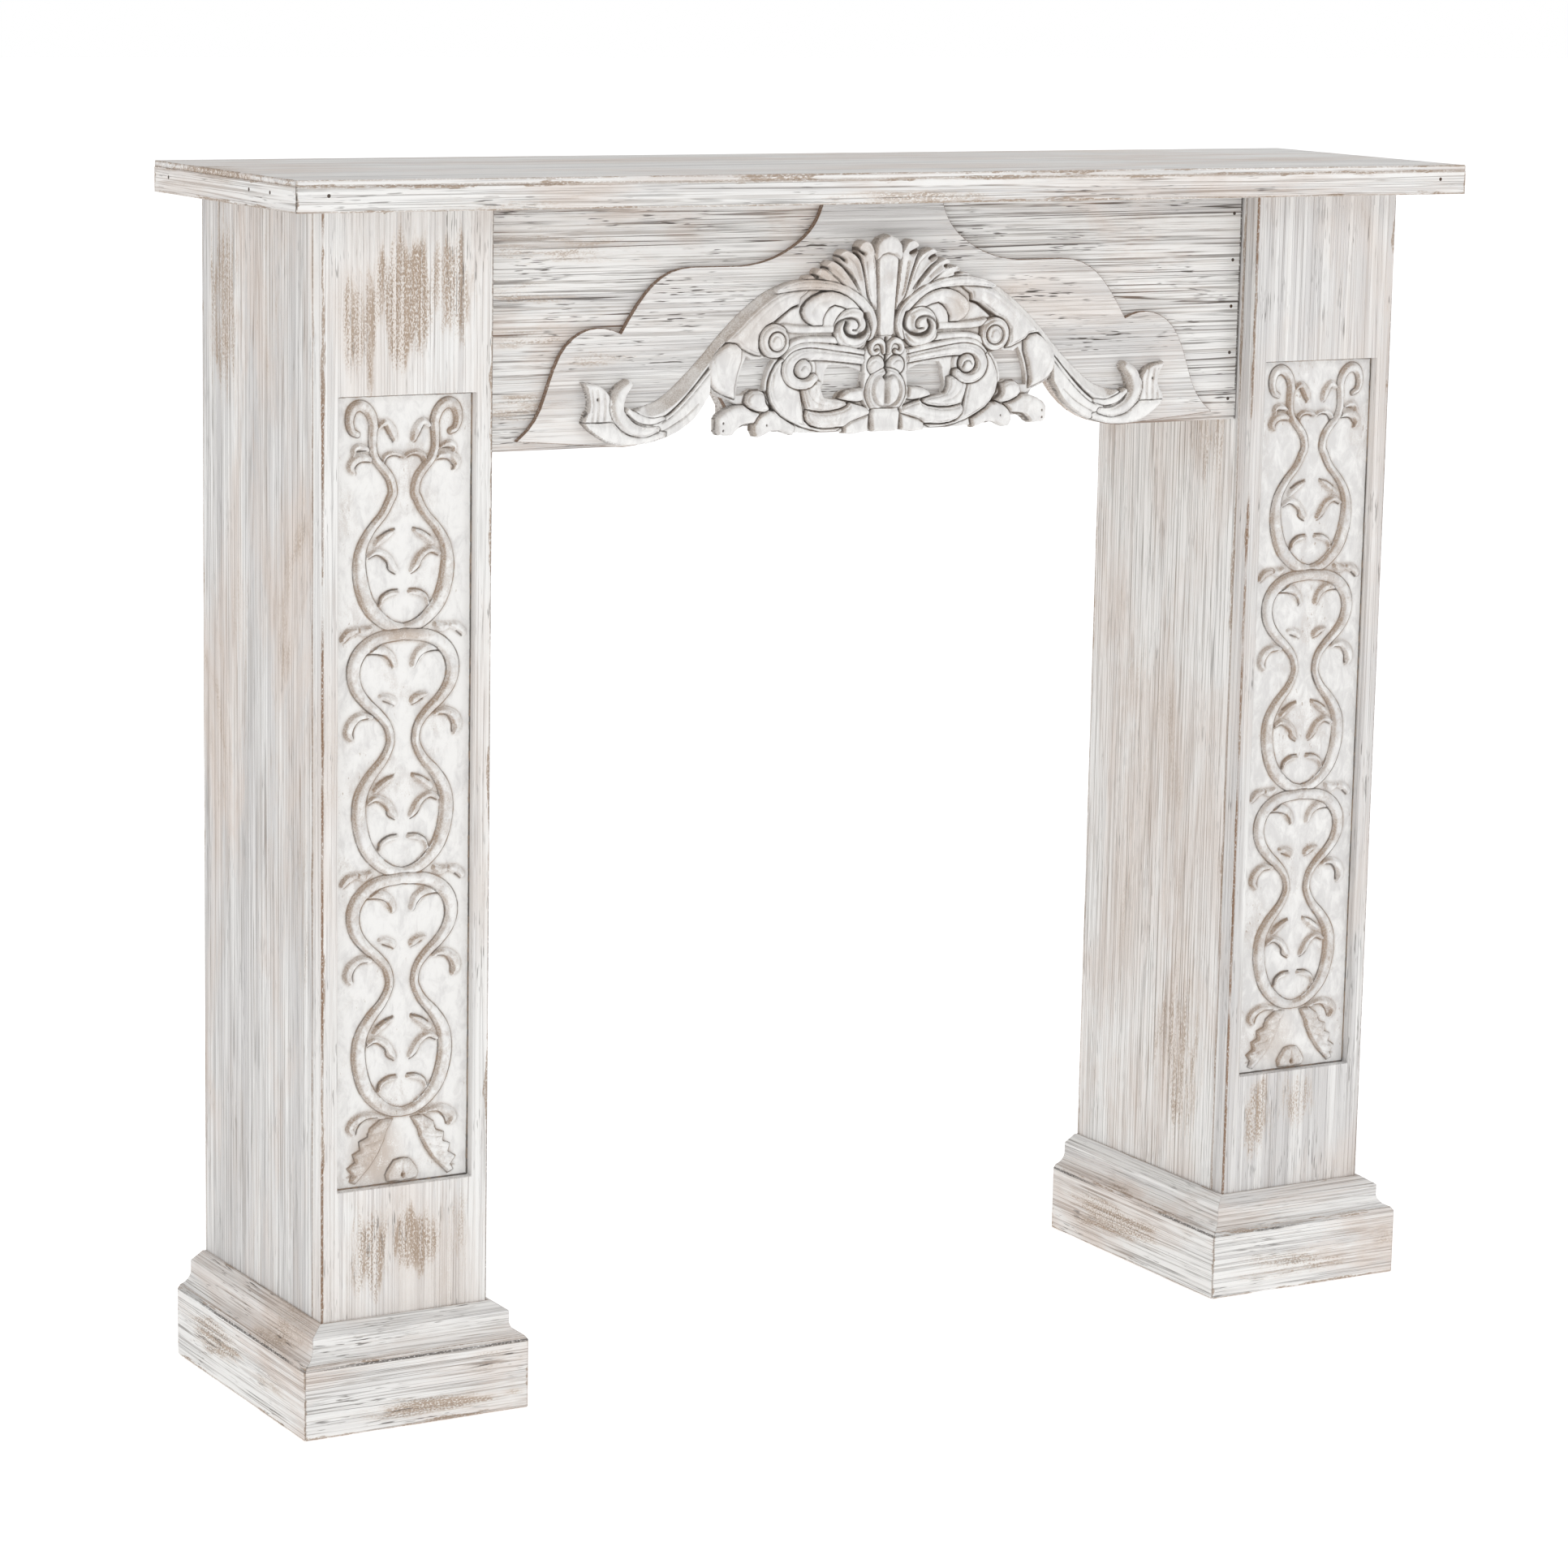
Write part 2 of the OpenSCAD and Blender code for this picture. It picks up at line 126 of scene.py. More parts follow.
def scooped(t):
    """A hollow between two raised rims."""
    crest = 0.75
    rim = rounded(np.clip((t - crest) / (1 - crest), 0, 1))
    return (0.5 + 0.5 * np.clip(t / crest, 0, 1) ** 2) * rim


def crowned(t):
    """Nearly as full as a half round."""
    return (1 - t * t) ** 0.8


class Relief:
    """Heights over a grid: x across, z up, in millimetres.

    inside says how far within the outline a point lies, and ink how dark its lines and creases are painted,
    partly as wash and partly as painted shade."""

    FIELDS = ("x", "z", "height", "inside", "ink")

    def __init__(self, low, high, step, ground=0.0):
        across = round((high[0] - low[0]) / step) + 1
        up = round((high[1] - low[1]) / step) + 1
        self.step = step
        self.x, self.z = np.meshgrid(np.linspace(low[0], high[0], across), np.linspace(low[1], high[1], up))
        self.height = np.full(self.x.shape, float(ground))
        self.inside = np.full(self.x.shape, -FAR)
        self.ink = np.zeros(self.x.shape)

    def near(self, path, reach):
        """The part of the grid within reach of the path."""
        low, high = path.min(0) - reach, path.max(0) + reach
        rows = np.searchsorted(self.z[:, 0], [low[1], high[1]])
        columns = np.searchsorted(self.x[0], [low[0], high[0]])
        return slice(*rows), slice(*columns)

    def raise_to(self, part, depth, height, moat, moat_depth, ink, rim=0.0):
        """Lifts what is inside (depth above 0) to a height, and cuts a narrow inked moat along its edge.

        rim is how deep a second fine line is cut just inside the edge."""
        dig = moat_depth * np.exp(-(((depth + moat * 0.4) / (moat * 0.6)) ** 2)) if moat else 0
        inner = np.exp(-(((depth - RIM_INSET) / RIM_WIDTH) ** 2)) * (rim > 0)
        height = height - rim * inner
        lower = self.height[part] - dig
        self.height[part] = np.where(depth > 0, np.maximum(height, np.where(depth > moat, 0, lower)), lower)
        self.inside[part] = np.maximum(self.inside[part], depth)
        # The dark line just outside the edge and the fine line cut inside it: partly wash, partly painted
        # shade in the crease.
        line = np.maximum(ink * np.exp(-(((depth + INK_OFFSET) / INK_WIDTH) ** 2)), RIM_INK * inner)
        self.ink[part] = np.maximum(np.where(depth > 0, 0, self.ink[part]), line)

    def stroke(self, points, widths, top, low, shape=soft, moat=0.9, moat_depth=1.4, ink=0.8, rim=0.0):
        """A raised stroke along a smooth line; widths (half widths) and tops are spread evenly along it."""
        path = smooth(points)
        widths = np.atleast_1d(np.array(widths, float))
        tops = np.atleast_1d(np.array(top, float))
        part = self.near(path, widths.max() + 2 * moat + 2 * self.step)
        away, share = nearest(path, self.x[part], self.z[part])
        half = np.interp(share, np.linspace(0, 1, len(widths)), widths)
        peak = np.interp(share, np.linspace(0, 1, len(tops)), tops)
        t = np.clip(away / half, 0, 1)
        self.raise_to(part, half - away, low + (peak - low) * shape(t), moat, moat_depth, ink, rim)

    def plate(self, outline, top, low, ease, moat=0.9, moat_depth=1.4, ink=0.8, rim=0.0):
        """A raised field whose edges are rounded over a width of ease."""
        outline = np.array(outline, float)
        part = self.near(outline, 2 * moat + 2 * self.step)
        depth = depth_inside(outline, self.x[part], self.z[part])
        t = 1 - np.clip(depth / ease, 0, 1)
        self.raise_to(part, depth, low + (top - low) * rounded(t), moat, moat_depth, ink, rim)

    def disc(self, at, radius, top, low, ease, **edge):
        turn = np.radians(np.arange(0, 360, 10))
        circle = np.column_stack([at[0] + radius * np.cos(turn), at[1] + radius * np.sin(turn)])
        self.plate(circle, top, low, ease, **edge)

    def groove(self, points, widths, depth, ink=0.0):
        """A cut with a rounded bottom along a smooth line; widths as for a stroke."""
        path = smooth(points)
        widths = np.atleast_1d(np.array(widths, float))
        part = self.near(path, widths.max() * 2 + self.step)
        away, share = nearest(path, self.x[part], self.z[part])
        half = np.interp(share, np.linspace(0, 1, len(widths)), widths)
        fall = np.exp(-((away / half) ** 2))
        self.height[part] -= depth * fall
        self.ink[part] = np.maximum(self.ink[part], ink * fall)

    def open_window(self, outline):
        """Cuts a hole through the relief."""
        outline = np.array(outline, float)
        part = self.near(outline, 3 * self.step)
        depth = depth_inside(outline, self.x[part], self.z[part])
        self.inside[part] = np.minimum(self.inside[part], -depth)

    def mirrored(self, whole=True):
        """The mirror image across x = 0, with the relief itself joined to it if whole."""
        other = object.__new__(Relief)
        other.step = self.step
        for name in self.FIELDS:
            half = getattr(self, name)
            image = (-1 if name == "x" else 1) * half[:, ::-1]
            setattr(other, name, np.hstack([image[:, :-1], half]) if whole else image)
        return other


def blurred(field, radius):
    """The field averaged with a bell-shaped weight of that radius, in cells."""
    reach = int(math.ceil(2.5 * radius))
    weights = np.exp(-0.5 * (np.arange(-reach, reach + 1) / radius) ** 2)
    weights /= weights.sum()
    for axis in (0, 1):
        padded = np.pad(field, [(reach, reach) if a == axis else (0, 0) for a in (0, 1)], "edge")
        length = field.shape[axis]
        field = sum(w * np.take(padded, np.arange(k, k + length), axis) for k, w in enumerate(weights))
    return field


def filled_cells(inside):
    """The cells within the outline, with no two that meet only at a corner."""
    cells = (inside[:-1, :-1] + inside[1:, :-1] + inside[:-1, 1:] + inside[1:, 1:]) > 0
    while True:
        a, b, c, d = cells[:-1, :-1], cells[:-1, 1:], cells[1:, :-1], cells[1:, 1:]
        falling, rising = a & d & ~b & ~c, b & c & ~a & ~d
        if not (falling.any() or rising.any()):
            return cells
        b |= falling
        a |= rising


def settled(relief, cells):
    """Grid points with those on the outline's stairs moved onto the outline itself."""
    x, z, step = relief.x.copy(), relief.z.copy(), relief.step
    count = np.zeros(x.shape, int)
    for rows in (slice(0, -1), slice(1, None)):
        for columns in (slice(0, -1), slice(1, None)):
            count[rows, columns] += cells
    rim = (count > 0) & (count < 4)
    reach, limit = 3 * step, 0.7 * step
    depth = np.clip(relief.inside, -reach, reach)
    up, across = np.gradient(depth, step)
    size = np.maximum(np.hypot(up, across), 1e-6)
    push = np.clip(-depth, -limit, limit)
    inner = rim.copy()
    inner[[0, -1], :] = False
    inner[:, [0, -1]] = False
    x += np.where(inner, push * across / size, 0)
    z += np.where(inner, push * up / size, 0)
    return x, z, count > 0


def relief_piece(name, relief, origin, back):
    """A closed mesh: the relief in front (towards -Y), straight walls round it and a flat back.

    origin is where x = z = height = 0 lies, in metres, and back is how far behind it the back lies."""
    rim = np.clip(relief.inside / EDGE_EASE, 0, 1)
    height = blurred(relief.height, SMOOTHING_CELLS) - EDGE_DROP * (1 - rim) ** 2
    cells = filled_cells(relief.inside)
    x, z, used = settled(relief, cells)
    index = np.full(x.shape, -1)
    index[used] = np.arange(used.sum())
    # How far each point lies below the mean height around it; the carving's paint darkens this as painted
    # shade and wash.
    hollow = np.clip((blurred(height, HOLLOW_REACH / relief.step) - height) / HOLLOW_DEPTH, 0, 1)
    raised = np.clip(height / RAISED_HEIGHT, 0, 1)
    front = np.column_stack([x[used], -height[used], z[used]])
    rows, columns = np.nonzero(cells)
    round_cell = ((0, 0), (0, 1), (1, 1), (1, 0))
    quads = np.column_stack([index[rows + up, columns + right] for up, right in round_cell])
    sides = np.vstack([quads[:, [k, (k + 1) % 4]] for k in range(4)])
    total = len(front)
    key = sides[:, 0] * total + sides[:, 1]
    edges = sides[~np.isin(key, sides[:, 1] * total + sides[:, 0])]
    rim_points = np.unique(edges)
    behind = np.full(total, -1)
    behind[rim_points] = total + np.arange(len(rim_points))
    rear = front[rim_points].copy()
    rear[:, 1] = back
    walls = np.column_stack([edges[:, 1], edges[:, 0], behind[edges[:, 0]], behind[edges[:, 1]]])
    points = np.vstack([front, rear]) * MM + np.array(origin)
    mesh = bpy.data.meshes.new(name)
    mesh.from_pydata(points.tolist(), [], np.vstack([quads, walls]).tolist())
    for label, field in (("hollow", hollow), ("ink", relief.ink), ("raised", raised)):
        attribute = mesh.attributes.new(label, "FLOAT", "POINT")
        attribute.data.foreach_set("value", np.concatenate([field[used], np.zeros(len(rear))]))
    work = bmesh.new()
    work.from_mesh(mesh)
    open_edges = [e for e in work.edges if len(e.link_faces) == 1]
    bmesh.ops.triangle_fill(work, edges=open_edges, use_beauty=False)
    bmesh.ops.recalc_face_normals(work, faces=work.faces)
    work.to_mesh(mesh)
    work.free()
    mesh.shade_smooth()
    mesh.set_sharp_from_angle(angle=SHARP_ANGLE)
    piece = bpy.data.objects.new(name, mesh)
    bpy.context.scene.collection.objects.link(piece)
    return piece


# ---- paint ----


def srgb(red, green, blue):
    """A colour from 0 to 255 as the shader wants it."""
    linear = [c / 255 / 12.92 if c < 11 else ((c / 255 + 0.055) / 1.055) ** 2.4 for c in (red, green, blue)]
    return (*linear, 1.0)


WASH = srgb(239, 238, 236)
WASH_GREY = srgb(210, 208, 207)
HAZE = srgb(223, 213, 206)
STREAK = srgb(166, 159, 153)
DARK_LINE = srgb(90, 84, 79)
TAN = srgb(205, 186, 168)
BROWN = srgb(160, 139, 120)
# The colour of painted shade on a carving's left walls, and of painted shade and wash in its hollows.
SHADE_AND_WASH = srgb(168, 155, 143)
EDGE = srgb(158, 136, 116)
EDGE_DARK = srgb(138, 108, 84)
RUBBED = srgb(200, 187, 176)
BROWN_LINE = srgb(136, 112, 94)
PINE = srgb(205, 172, 130)
PINE_DARK = srgb(168, 128, 86)
BOARD = srgb(122, 92, 66)
BOARD_DARK = srgb(96, 70, 48)
STEEL = srgb(92, 84, 78)
RUST = srgb(84, 58, 42)


class Paint:
    """Short calls that build one material's nodes."""

    def __init__(self, name, seed=0):
        self.material = bpy.data.materials.new(name)
        self.material.use_nodes = True
        self.tree = self.material.node_tree
        self.shader = self.tree.nodes["Principled BSDF"]
        self.place = self.add("ShaderNodeTexCoord").outputs["Object"]
        self.seed = seed

    def add(self, kind, **settings):
        node = self.tree.nodes.new(kind)
        for key, value in settings.items():
            setattr(node, key, value)
        return node

    def feed(self, socket, value):
        if isinstance(value, bpy.types.NodeSocket):
            self.tree.links.new(value, socket)
        else:
            socket.default_value = value

    def math(self, operation, a, b=0.0, clamp=False):
        node = self.add("ShaderNodeMath", operation=operation, use_clamp=clamp)
        self.feed(node.inputs[0], a)
        self.feed(node.inputs[1], b)
        return node.outputs[0]

    def plus(self, a, b, share=1.0):
        """a + share * b"""
        return self.math("ADD", a, b if share == 1.0 else self.math("MULTIPLY", b, share))

    def minus(self, a, b):
        return self.math("SUBTRACT", a, b)

    def highest(self, a, b):
        return self.math("MAXIMUM", a, b)

    def product(self, *values):
        result = values[0]
        for value in values[1:]:
            result = self.math("MULTIPLY", result, value)
        return result

    def ramp(self, value, low, high, top=1.0):
        """0 below low, top above high, and smooth between."""
        node = self.add("ShaderNodeMapRange", interpolation_type="SMOOTHSTEP")
        for socket, number in zip(node.inputs, (value, low, high, 0.0, top)):
            self.feed(socket, number)
        return node.outputs[0]

    def contour(self, value, width):
        """Thin lines where a value passes through one half."""
        return self.ramp(self.math("ABSOLUTE", self.minus(value, 0.5)), width, 0.3 * width)

    def mix(self, share, a, b):
        node = self.add("ShaderNodeMix", data_type="RGBA")
        self.feed(node.inputs[0], share)
        self.feed(node.inputs[6], a)
        self.feed(node.inputs[7], b)
        return node.outputs[2]

    def vector(self, operation, a, b):
        node = self.add("ShaderNodeVectorMath", operation=operation)
        self.feed(node.inputs[0], a)
        self.feed(node.inputs[1], b)
        return node.outputs["Value" if operation in ("LENGTH", "DOT_PRODUCT") else "Vector"]

    def noise(self, scales, detail=2.0, rough=0.5, warp=0.0, shift=0):
        """Noise that varies so many times per metre along X, Y and Z; seed and shift pick its place."""
        spot = self.vector("MULTIPLY", self.place, scales)
        offset = 17.3 * self.seed + 5.1 * shift
        spot = self.vector("ADD", spot, (offset, 0.37 * offset, 0.71 * offset))
        node = self.add("ShaderNodeTexNoise")
        self.feed(node.inputs["Vector"], spot)
        for key, value in (("Scale", 1.0), ("Detail", detail), ("Roughness", rough), ("Distortion", warp)):
            node.inputs[key].default_value = value
        return node.outputs[0]

    def facing(self, direction):
        """How far the surface faces a fixed direction, from -1 to 1."""
        normal = self.add("ShaderNodeNewGeometry").outputs["Normal"]
        return self.vector("DOT_PRODUCT", normal, direction)

    def attribute(self, name):
        return self.add("ShaderNodeAttribute", attribute_name=name).outputs["Fac"]

    def spot(self, centre, size):
        """A soft spot: 1 at its centre and about 0 at twice its size (both in mm)."""
        away = self.vector("SUBTRACT", self.place, tuple(c * MM for c in centre))
        away = self.vector("MULTIPLY", away, tuple(1 / (s * MM) for s in size))
        return self.ramp(self.vector("LENGTH", away, (0, 0, 0)), 2.0, 0.3)

    def arris(self, corner, size):
        """1 near a straight edge and 0 farther from it than size (in mm).

        corner is {axis: metres}, for the two axes across the edge."""
        part = self.add("ShaderNodeSeparateXYZ")
        self.feed(part.inputs[0], self.place)
        a, b = (self.math("ABSOLUTE", self.minus(part.outputs[axis], at)) for axis, at in corner.items())
        return self.ramp(self.highest(a, b), size * MM, 0.4 * size * MM)

    def edge_distance(self, low, high):
        """Distance from the nearest edge of a box, for points on its faces, in metres."""
        part = self.add("ShaderNodeSeparateXYZ")
        self.feed(part.inputs[0], self.place)
        a, b, c = (
            self.math("MINIMUM", self.minus(part.outputs[k], low[k]), self.minus(high[k], part.outputs[k]))
            for k in range(3)
        )
        return self.highest(self.math("MINIMUM", a, b), self.math("MINIMUM", self.highest(a, b), c))

    def finish(self, colour, rough, bump, bump_size):
        """Feeds the shader; bump_size is how high the bump stands, in mm."""
        self.feed(self.shader.inputs["Base Color"], colour)
        self.feed(self.shader.inputs["Roughness"], rough)
        self.shader.inputs["Specular IOR Level"].default_value = 0.3
        relief = self.add("ShaderNodeBump")
        relief.inputs["Strength"].default_value = 1.0
        relief.inputs["Distance"].default_value = bump_size * MM
        self.feed(relief.inputs["Height"], bump)
        self.feed(self.shader.inputs["Normal"], relief.outputs["Normal"])
        return self.material


def grain(along, across_rate, along_rate):
    """Noise scales for a grain that runs along X, Y or Z (0, 1 or 2)."""
    return tuple(along_rate if axis == along else across_rate for axis in range(3))


def whitewash(name, along, seed, box, spots, bare, arrises, streaks=0.6, tone=1.0, grey=0.0, lines=0.45,
              dashes=0.35, walls=0.0):
    """Brushed pine under thin white paint: grey streaks, tan patches where it is thin, brown worn edges.

    box is the board whose edges are worn (or None), spots are (centre, size, strength), and bare is the
    direction of the unpainted back (or None). arrises are edges with a dark line: (where, its width,
    strength, colour). How much there is of dark creases, tan areas, grey, fine streaks, short dashes and
    painted shade on the edge faces is streaks, tone, grey, lines, dashes and walls."""
    p = Paint(name, seed)

    def fibres(across, lengthwise, detail, rough, warp, shift):
        return p.noise(grain(along, across, lengthwise), detail, rough, warp, shift)

    hair = fibres(700, 6, 2, 0.5, 0.15, 1)
    wide = fibres(180, 2.0, 1, 0.5, 0.2, 2)
    close = fibres(330, 3.2, 1, 0.5, 0.2, 9)
    band = fibres(80, 1.6, 3, 0.6, 0.5, 3)
    cluster = fibres(34, 7, 3, 0.65, 0.5, 4)
    cloud = fibres(12, 4.5, 5, 0.62, 0.5, 5)
    speck = fibres(900, 420, 2, 0.6, 0, 6)
    frayed = fibres(110, 16, 4, 0.7, 0.3, 10)
    # The paint: a white to grey ground, warm areas and fine streaks.
    ground = p.plus(p.plus(band, close, 0.5), grey)
    colour = p.mix(p.ramp(ground, 0.6, 0.95, 0.95), WASH, WASH_GREY)
    colour = p.mix(p.ramp(p.plus(cloud, hair, 0.2), 0.52, 0.74, 0.8 * tone), colour, HAZE)
    colour = p.mix(p.product(p.ramp(hair, 0.53, 0.62, lines), p.ramp(cluster, 0.3, 0.6)), colour, STREAK)
    # Where it is worn thin.
    thin = p.ramp(cloud, 0.56, 0.74, 0.6 * tone)
    for centre, size, strength in spots:
        ragged = p.plus(frayed, p.product(p.spot(centre, size), strength), 0.55)
        thin = p.highest(thin, p.product(p.ramp(ragged, 0.62, 1.0), strength))
    gritty = p.ramp(p.plus(speck, close, 0.5), 0.66, 0.84)
    colour = p.mix(p.product(thin, p.plus(0.25, gritty, 0.5)), colour, TAN)
    colour = p.mix(p.product(p.ramp(thin, 0.15, 0.9), gritty, 0.8), colour, BROWN)
    # Dark creases of the grain, long and short.
    crowd = p.ramp(p.plus(cluster, band, 0.5), 0.68, 0.84)
    creases = p.highest(p.product(p.contour(wide, 0.026), crowd),
                        p.product(p.contour(close, 0.05), p.ramp(cluster, 0.6, 0.42), 0.75))
    line_colour = p.mix(p.ramp(cloud, 0.4, 0.6), DARK_LINE, BROWN_LINE)
    crease_share = min(0.8 * streaks, 0.95)
    colour = p.mix(p.product(creases, p.ramp(hair, 0.3, 0.5), crease_share), colour, line_colour)
    short = p.product(p.ramp(fibres(850, 55, 1, 0.5, 0, 11), 0.6, 0.68),
                      p.ramp(fibres(40, 14, 3, 0.6, 0.3, 12), 0.5, 0.62, dashes))
    colour = p.mix(short, colour, DARK_LINE)
    # Worn edges, painted shade on the edge faces, dark arris lines and the bare back.
    if box is not None:
        near_edge = p.edge_distance(*box)
        ragged = p.math("MULTIPLY", p.minus(fibres(90, 14, 4, 0.7, 0, 7), 0.5), 18 * MM)
        worn = p.ramp(p.minus(near_edge, ragged), 0.9 * MM, -0.3 * MM)
        rim = p.product(p.ramp(near_edge, 2.0 * MM, 0.7 * MM), p.ramp(cluster, 0.3, 0.5, 0.6))
        colour = p.mix(p.product(p.highest(worn, rim), p.ramp(speck, 0.25, 0.55, 0.85)), colour, EDGE)
    # Painted shade: faces that turn away from the front, such as the apron's edge walls, go brown.
    if walls:
        turned = p.ramp(p.facing(FORWARD), 0.96, 0.75)
        colour = p.mix(p.product(turned, p.ramp(speck, 0.2, 0.5, walls)), colour, BROWN_LINE)
    # Dark arris lines: worn brown edges and dark joints, and a painted shadow in the gap at the frieze
    # board's end.
    for corner, size, share, stain_and_shade in arrises:
        broken = p.product(p.ramp(cluster, 0.34, 0.5, share), p.ramp(speck, 0.3, 0.5))
        colour = p.mix(p.product(p.arris(corner, size), broken), colour, stain_and_shade)
    if bare is not None:
        raw = p.mix(p.ramp(fibres(160, 2.5, 4, 0.6, 0.8, 8), 0.35, 0.65), PINE, PINE_DARK)
        colour = p.mix(p.ramp(p.facing(bare), 0.7, 0.9), colour, raw)
    bump = p.minus(p.math("MULTIPLY", band, 0.3), p.math("MULTIPLY", hair, 0.5))
    bump = p.minus(bump, p.math("MULTIPLY", creases, 0.4))
    return p.finish(colour, p.plus(0.62, close, 0.22), bump, 0.8)


def carved_paint(name, seed, brown=0.0, spots=(), slope=(0.97, 0.62), tint=SHADE_AND_WASH, grey=0.0, rubbed=0.0):
    """White paint on a moulded carving: dark lines in its creases, partly wash and partly painted shade,
    and painted shade on its left walls and in its hollows, where it also stands for wash.

    brown is how brown the dark lines are, spots are worn places, slope is how flat a left wall may be to
    carry the painted shade, tint is that painted shade's colour, and rubbed is how bare the raised parts
    are."""
    p = Paint(name, seed)
    ink, hollow = p.attribute("ink"), p.attribute("hollow")
    cloud = p.noise((18, 18, 18), 4, 0.6, 0.4, 1)
    brushed = p.noise((110, 110, 60), 4, 0.65, 0.5, 2)
    speck = p.noise((900, 900, 900), 2, 0.6, 0, 3)
    broken = p.noise((150, 150, 150), 3, 0.7, 0.5, 4)
    colour = p.mix(p.ramp(p.plus(brushed, grey), 0.36, 0.72, 0.75), WASH, WASH_GREY)
    gritty = p.plus(0.55, p.ramp(speck, 0.35, 0.65), 0.45)
    patchy = p.ramp(cloud, 0.34, 0.6)
    # Painted shade: left-facing walls and slopes take the tint, and so do hollows, where it is painted
    # shade and wash together.
    wall = p.product(p.ramp(p.facing(FORWARD), *slope), p.ramp(p.facing((-1, 0, 0.3)), -0.1, 0.6))
    stain_and_shade = p.highest(wall, p.ramp(hollow, 0.05, 0.75, 0.85))
    colour = p.mix(p.product(stain_and_shade, p.plus(0.45, patchy, 0.55), gritty), colour, tint)
    worn = p.product(p.ramp(cloud, 0.52, 0.68, 0.3), p.ramp(p.plus(speck, brushed), 0.9, 1.1))
    for centre, size, strength in spots:
        patch = p.product(p.spot(centre, size), strength, p.ramp(p.plus(speck, brushed), 0.6, 1.0))
        worn = p.highest(worn, patch)
    colour = p.mix(worn, colour, RUBBED)
    if rubbed:
        bare = p.ramp(p.plus(broken, cloud), 0.85, 1.15, rubbed)
        colour = p.mix(p.product(p.attribute("raised"), bare, gritty), colour, EDGE)
        flecks = p.ramp(p.noise((420, 420, 160), 2, 0.6, 0, 6), 0.64, 0.72)
        colour = p.mix(p.product(flecks, p.ramp(cloud, 0.5, 0.6, 0.6)), colour, EDGE)
    dark = p.mix(p.ramp(p.plus(cloud, broken), 0.85, 1.15, brown), DARK_LINE, BROWN)
    mottle = p.noise((45, 45, 45), 2, 0.5, 0, 5)
    uneven = p.plus(p.math("MULTIPLY", broken, 0.8), mottle, 0.7)
    # Dark lines where the relief's ink is: partly wash, partly painted shade in the creases.
    colour = p.mix(p.product(p.ramp(p.plus(ink, uneven), 0.98, 1.6), 0.95), colour, dark)
    bump = p.plus(p.math("MULTIPLY", brushed, 0.6), speck, 0.3)
    return p.finish(colour, p.plus(0.55, brushed, 0.2), bump, 0.4)


def bare_wood(name, along, seed):
    p = Paint(name, seed)
    rings = p.noise(grain(along, 120, 2.0), 4, 0.6, 1.2, 1)
    fine = p.noise(grain(along, 700, 12), 2, 0.6, 0, 2)
    colour = p.mix(p.ramp(rings, 0.35, 0.68), PINE, PINE_DARK)
    colour = p.mix(p.ramp(fine, 0.5, 0.75, 0.35), colour, BROWN)
    return p.finish(colour, p.plus(0.6, rings, 0.2), p.plus(fine, rings), 0.5)


def hardboard(name, seed):
    p = Paint(name, seed)
    fibre = p.noise((900, 900, 900), 3, 0.7, 1.5, 1)
    cloud = p.noise((20, 20, 20), 3, 0.6, 0, 2)
    colour = p.mix(p.ramp(p.plus(fibre, cloud), 0.8, 1.2), BOARD, BOARD_DARK)
    return p.finish(colour, p.plus(0.5, cloud, 0.25), fibre, 0.3)


def old_steel(name, seed):
    p = Paint(name, seed)
    cloud = p.noise((400, 400, 400), 3, 0.6, 0, 1)
    colour = p.mix(p.ramp(cloud, 0.45, 0.65), STEEL, RUST)
    p.shader.inputs["Metallic"].default_value = 0.7
    return p.finish(colour, p.plus(0.4, cloud, 0.4), cloud, 0.2)


# Points this close (mm) are joined, and edges sharper than this are eased.
WELD_REACH = 0.001
EASED_ANGLE = math.radians(35)


def coat(piece, material):
    piece.data.materials.clear()
    piece.data.materials.append(material)


def ease_edges(piece, width, segments):
    """Rounds a board's sharp edges by a width in mm, after joining its faces along them."""
    weld = piece.modifiers.new("joined_faces", "WELD")
    weld.merge_threshold = WELD_REACH * MM
    bevel = piece.modifiers.new("eased_edges", "BEVEL")
    bevel.width = width * MM
    bevel.segments = segments
    bevel.limit_method = "ANGLE"
    bevel.angle_limit = EASED_ANGLE
    bevel.harden_normals = True


# ---- boards ----

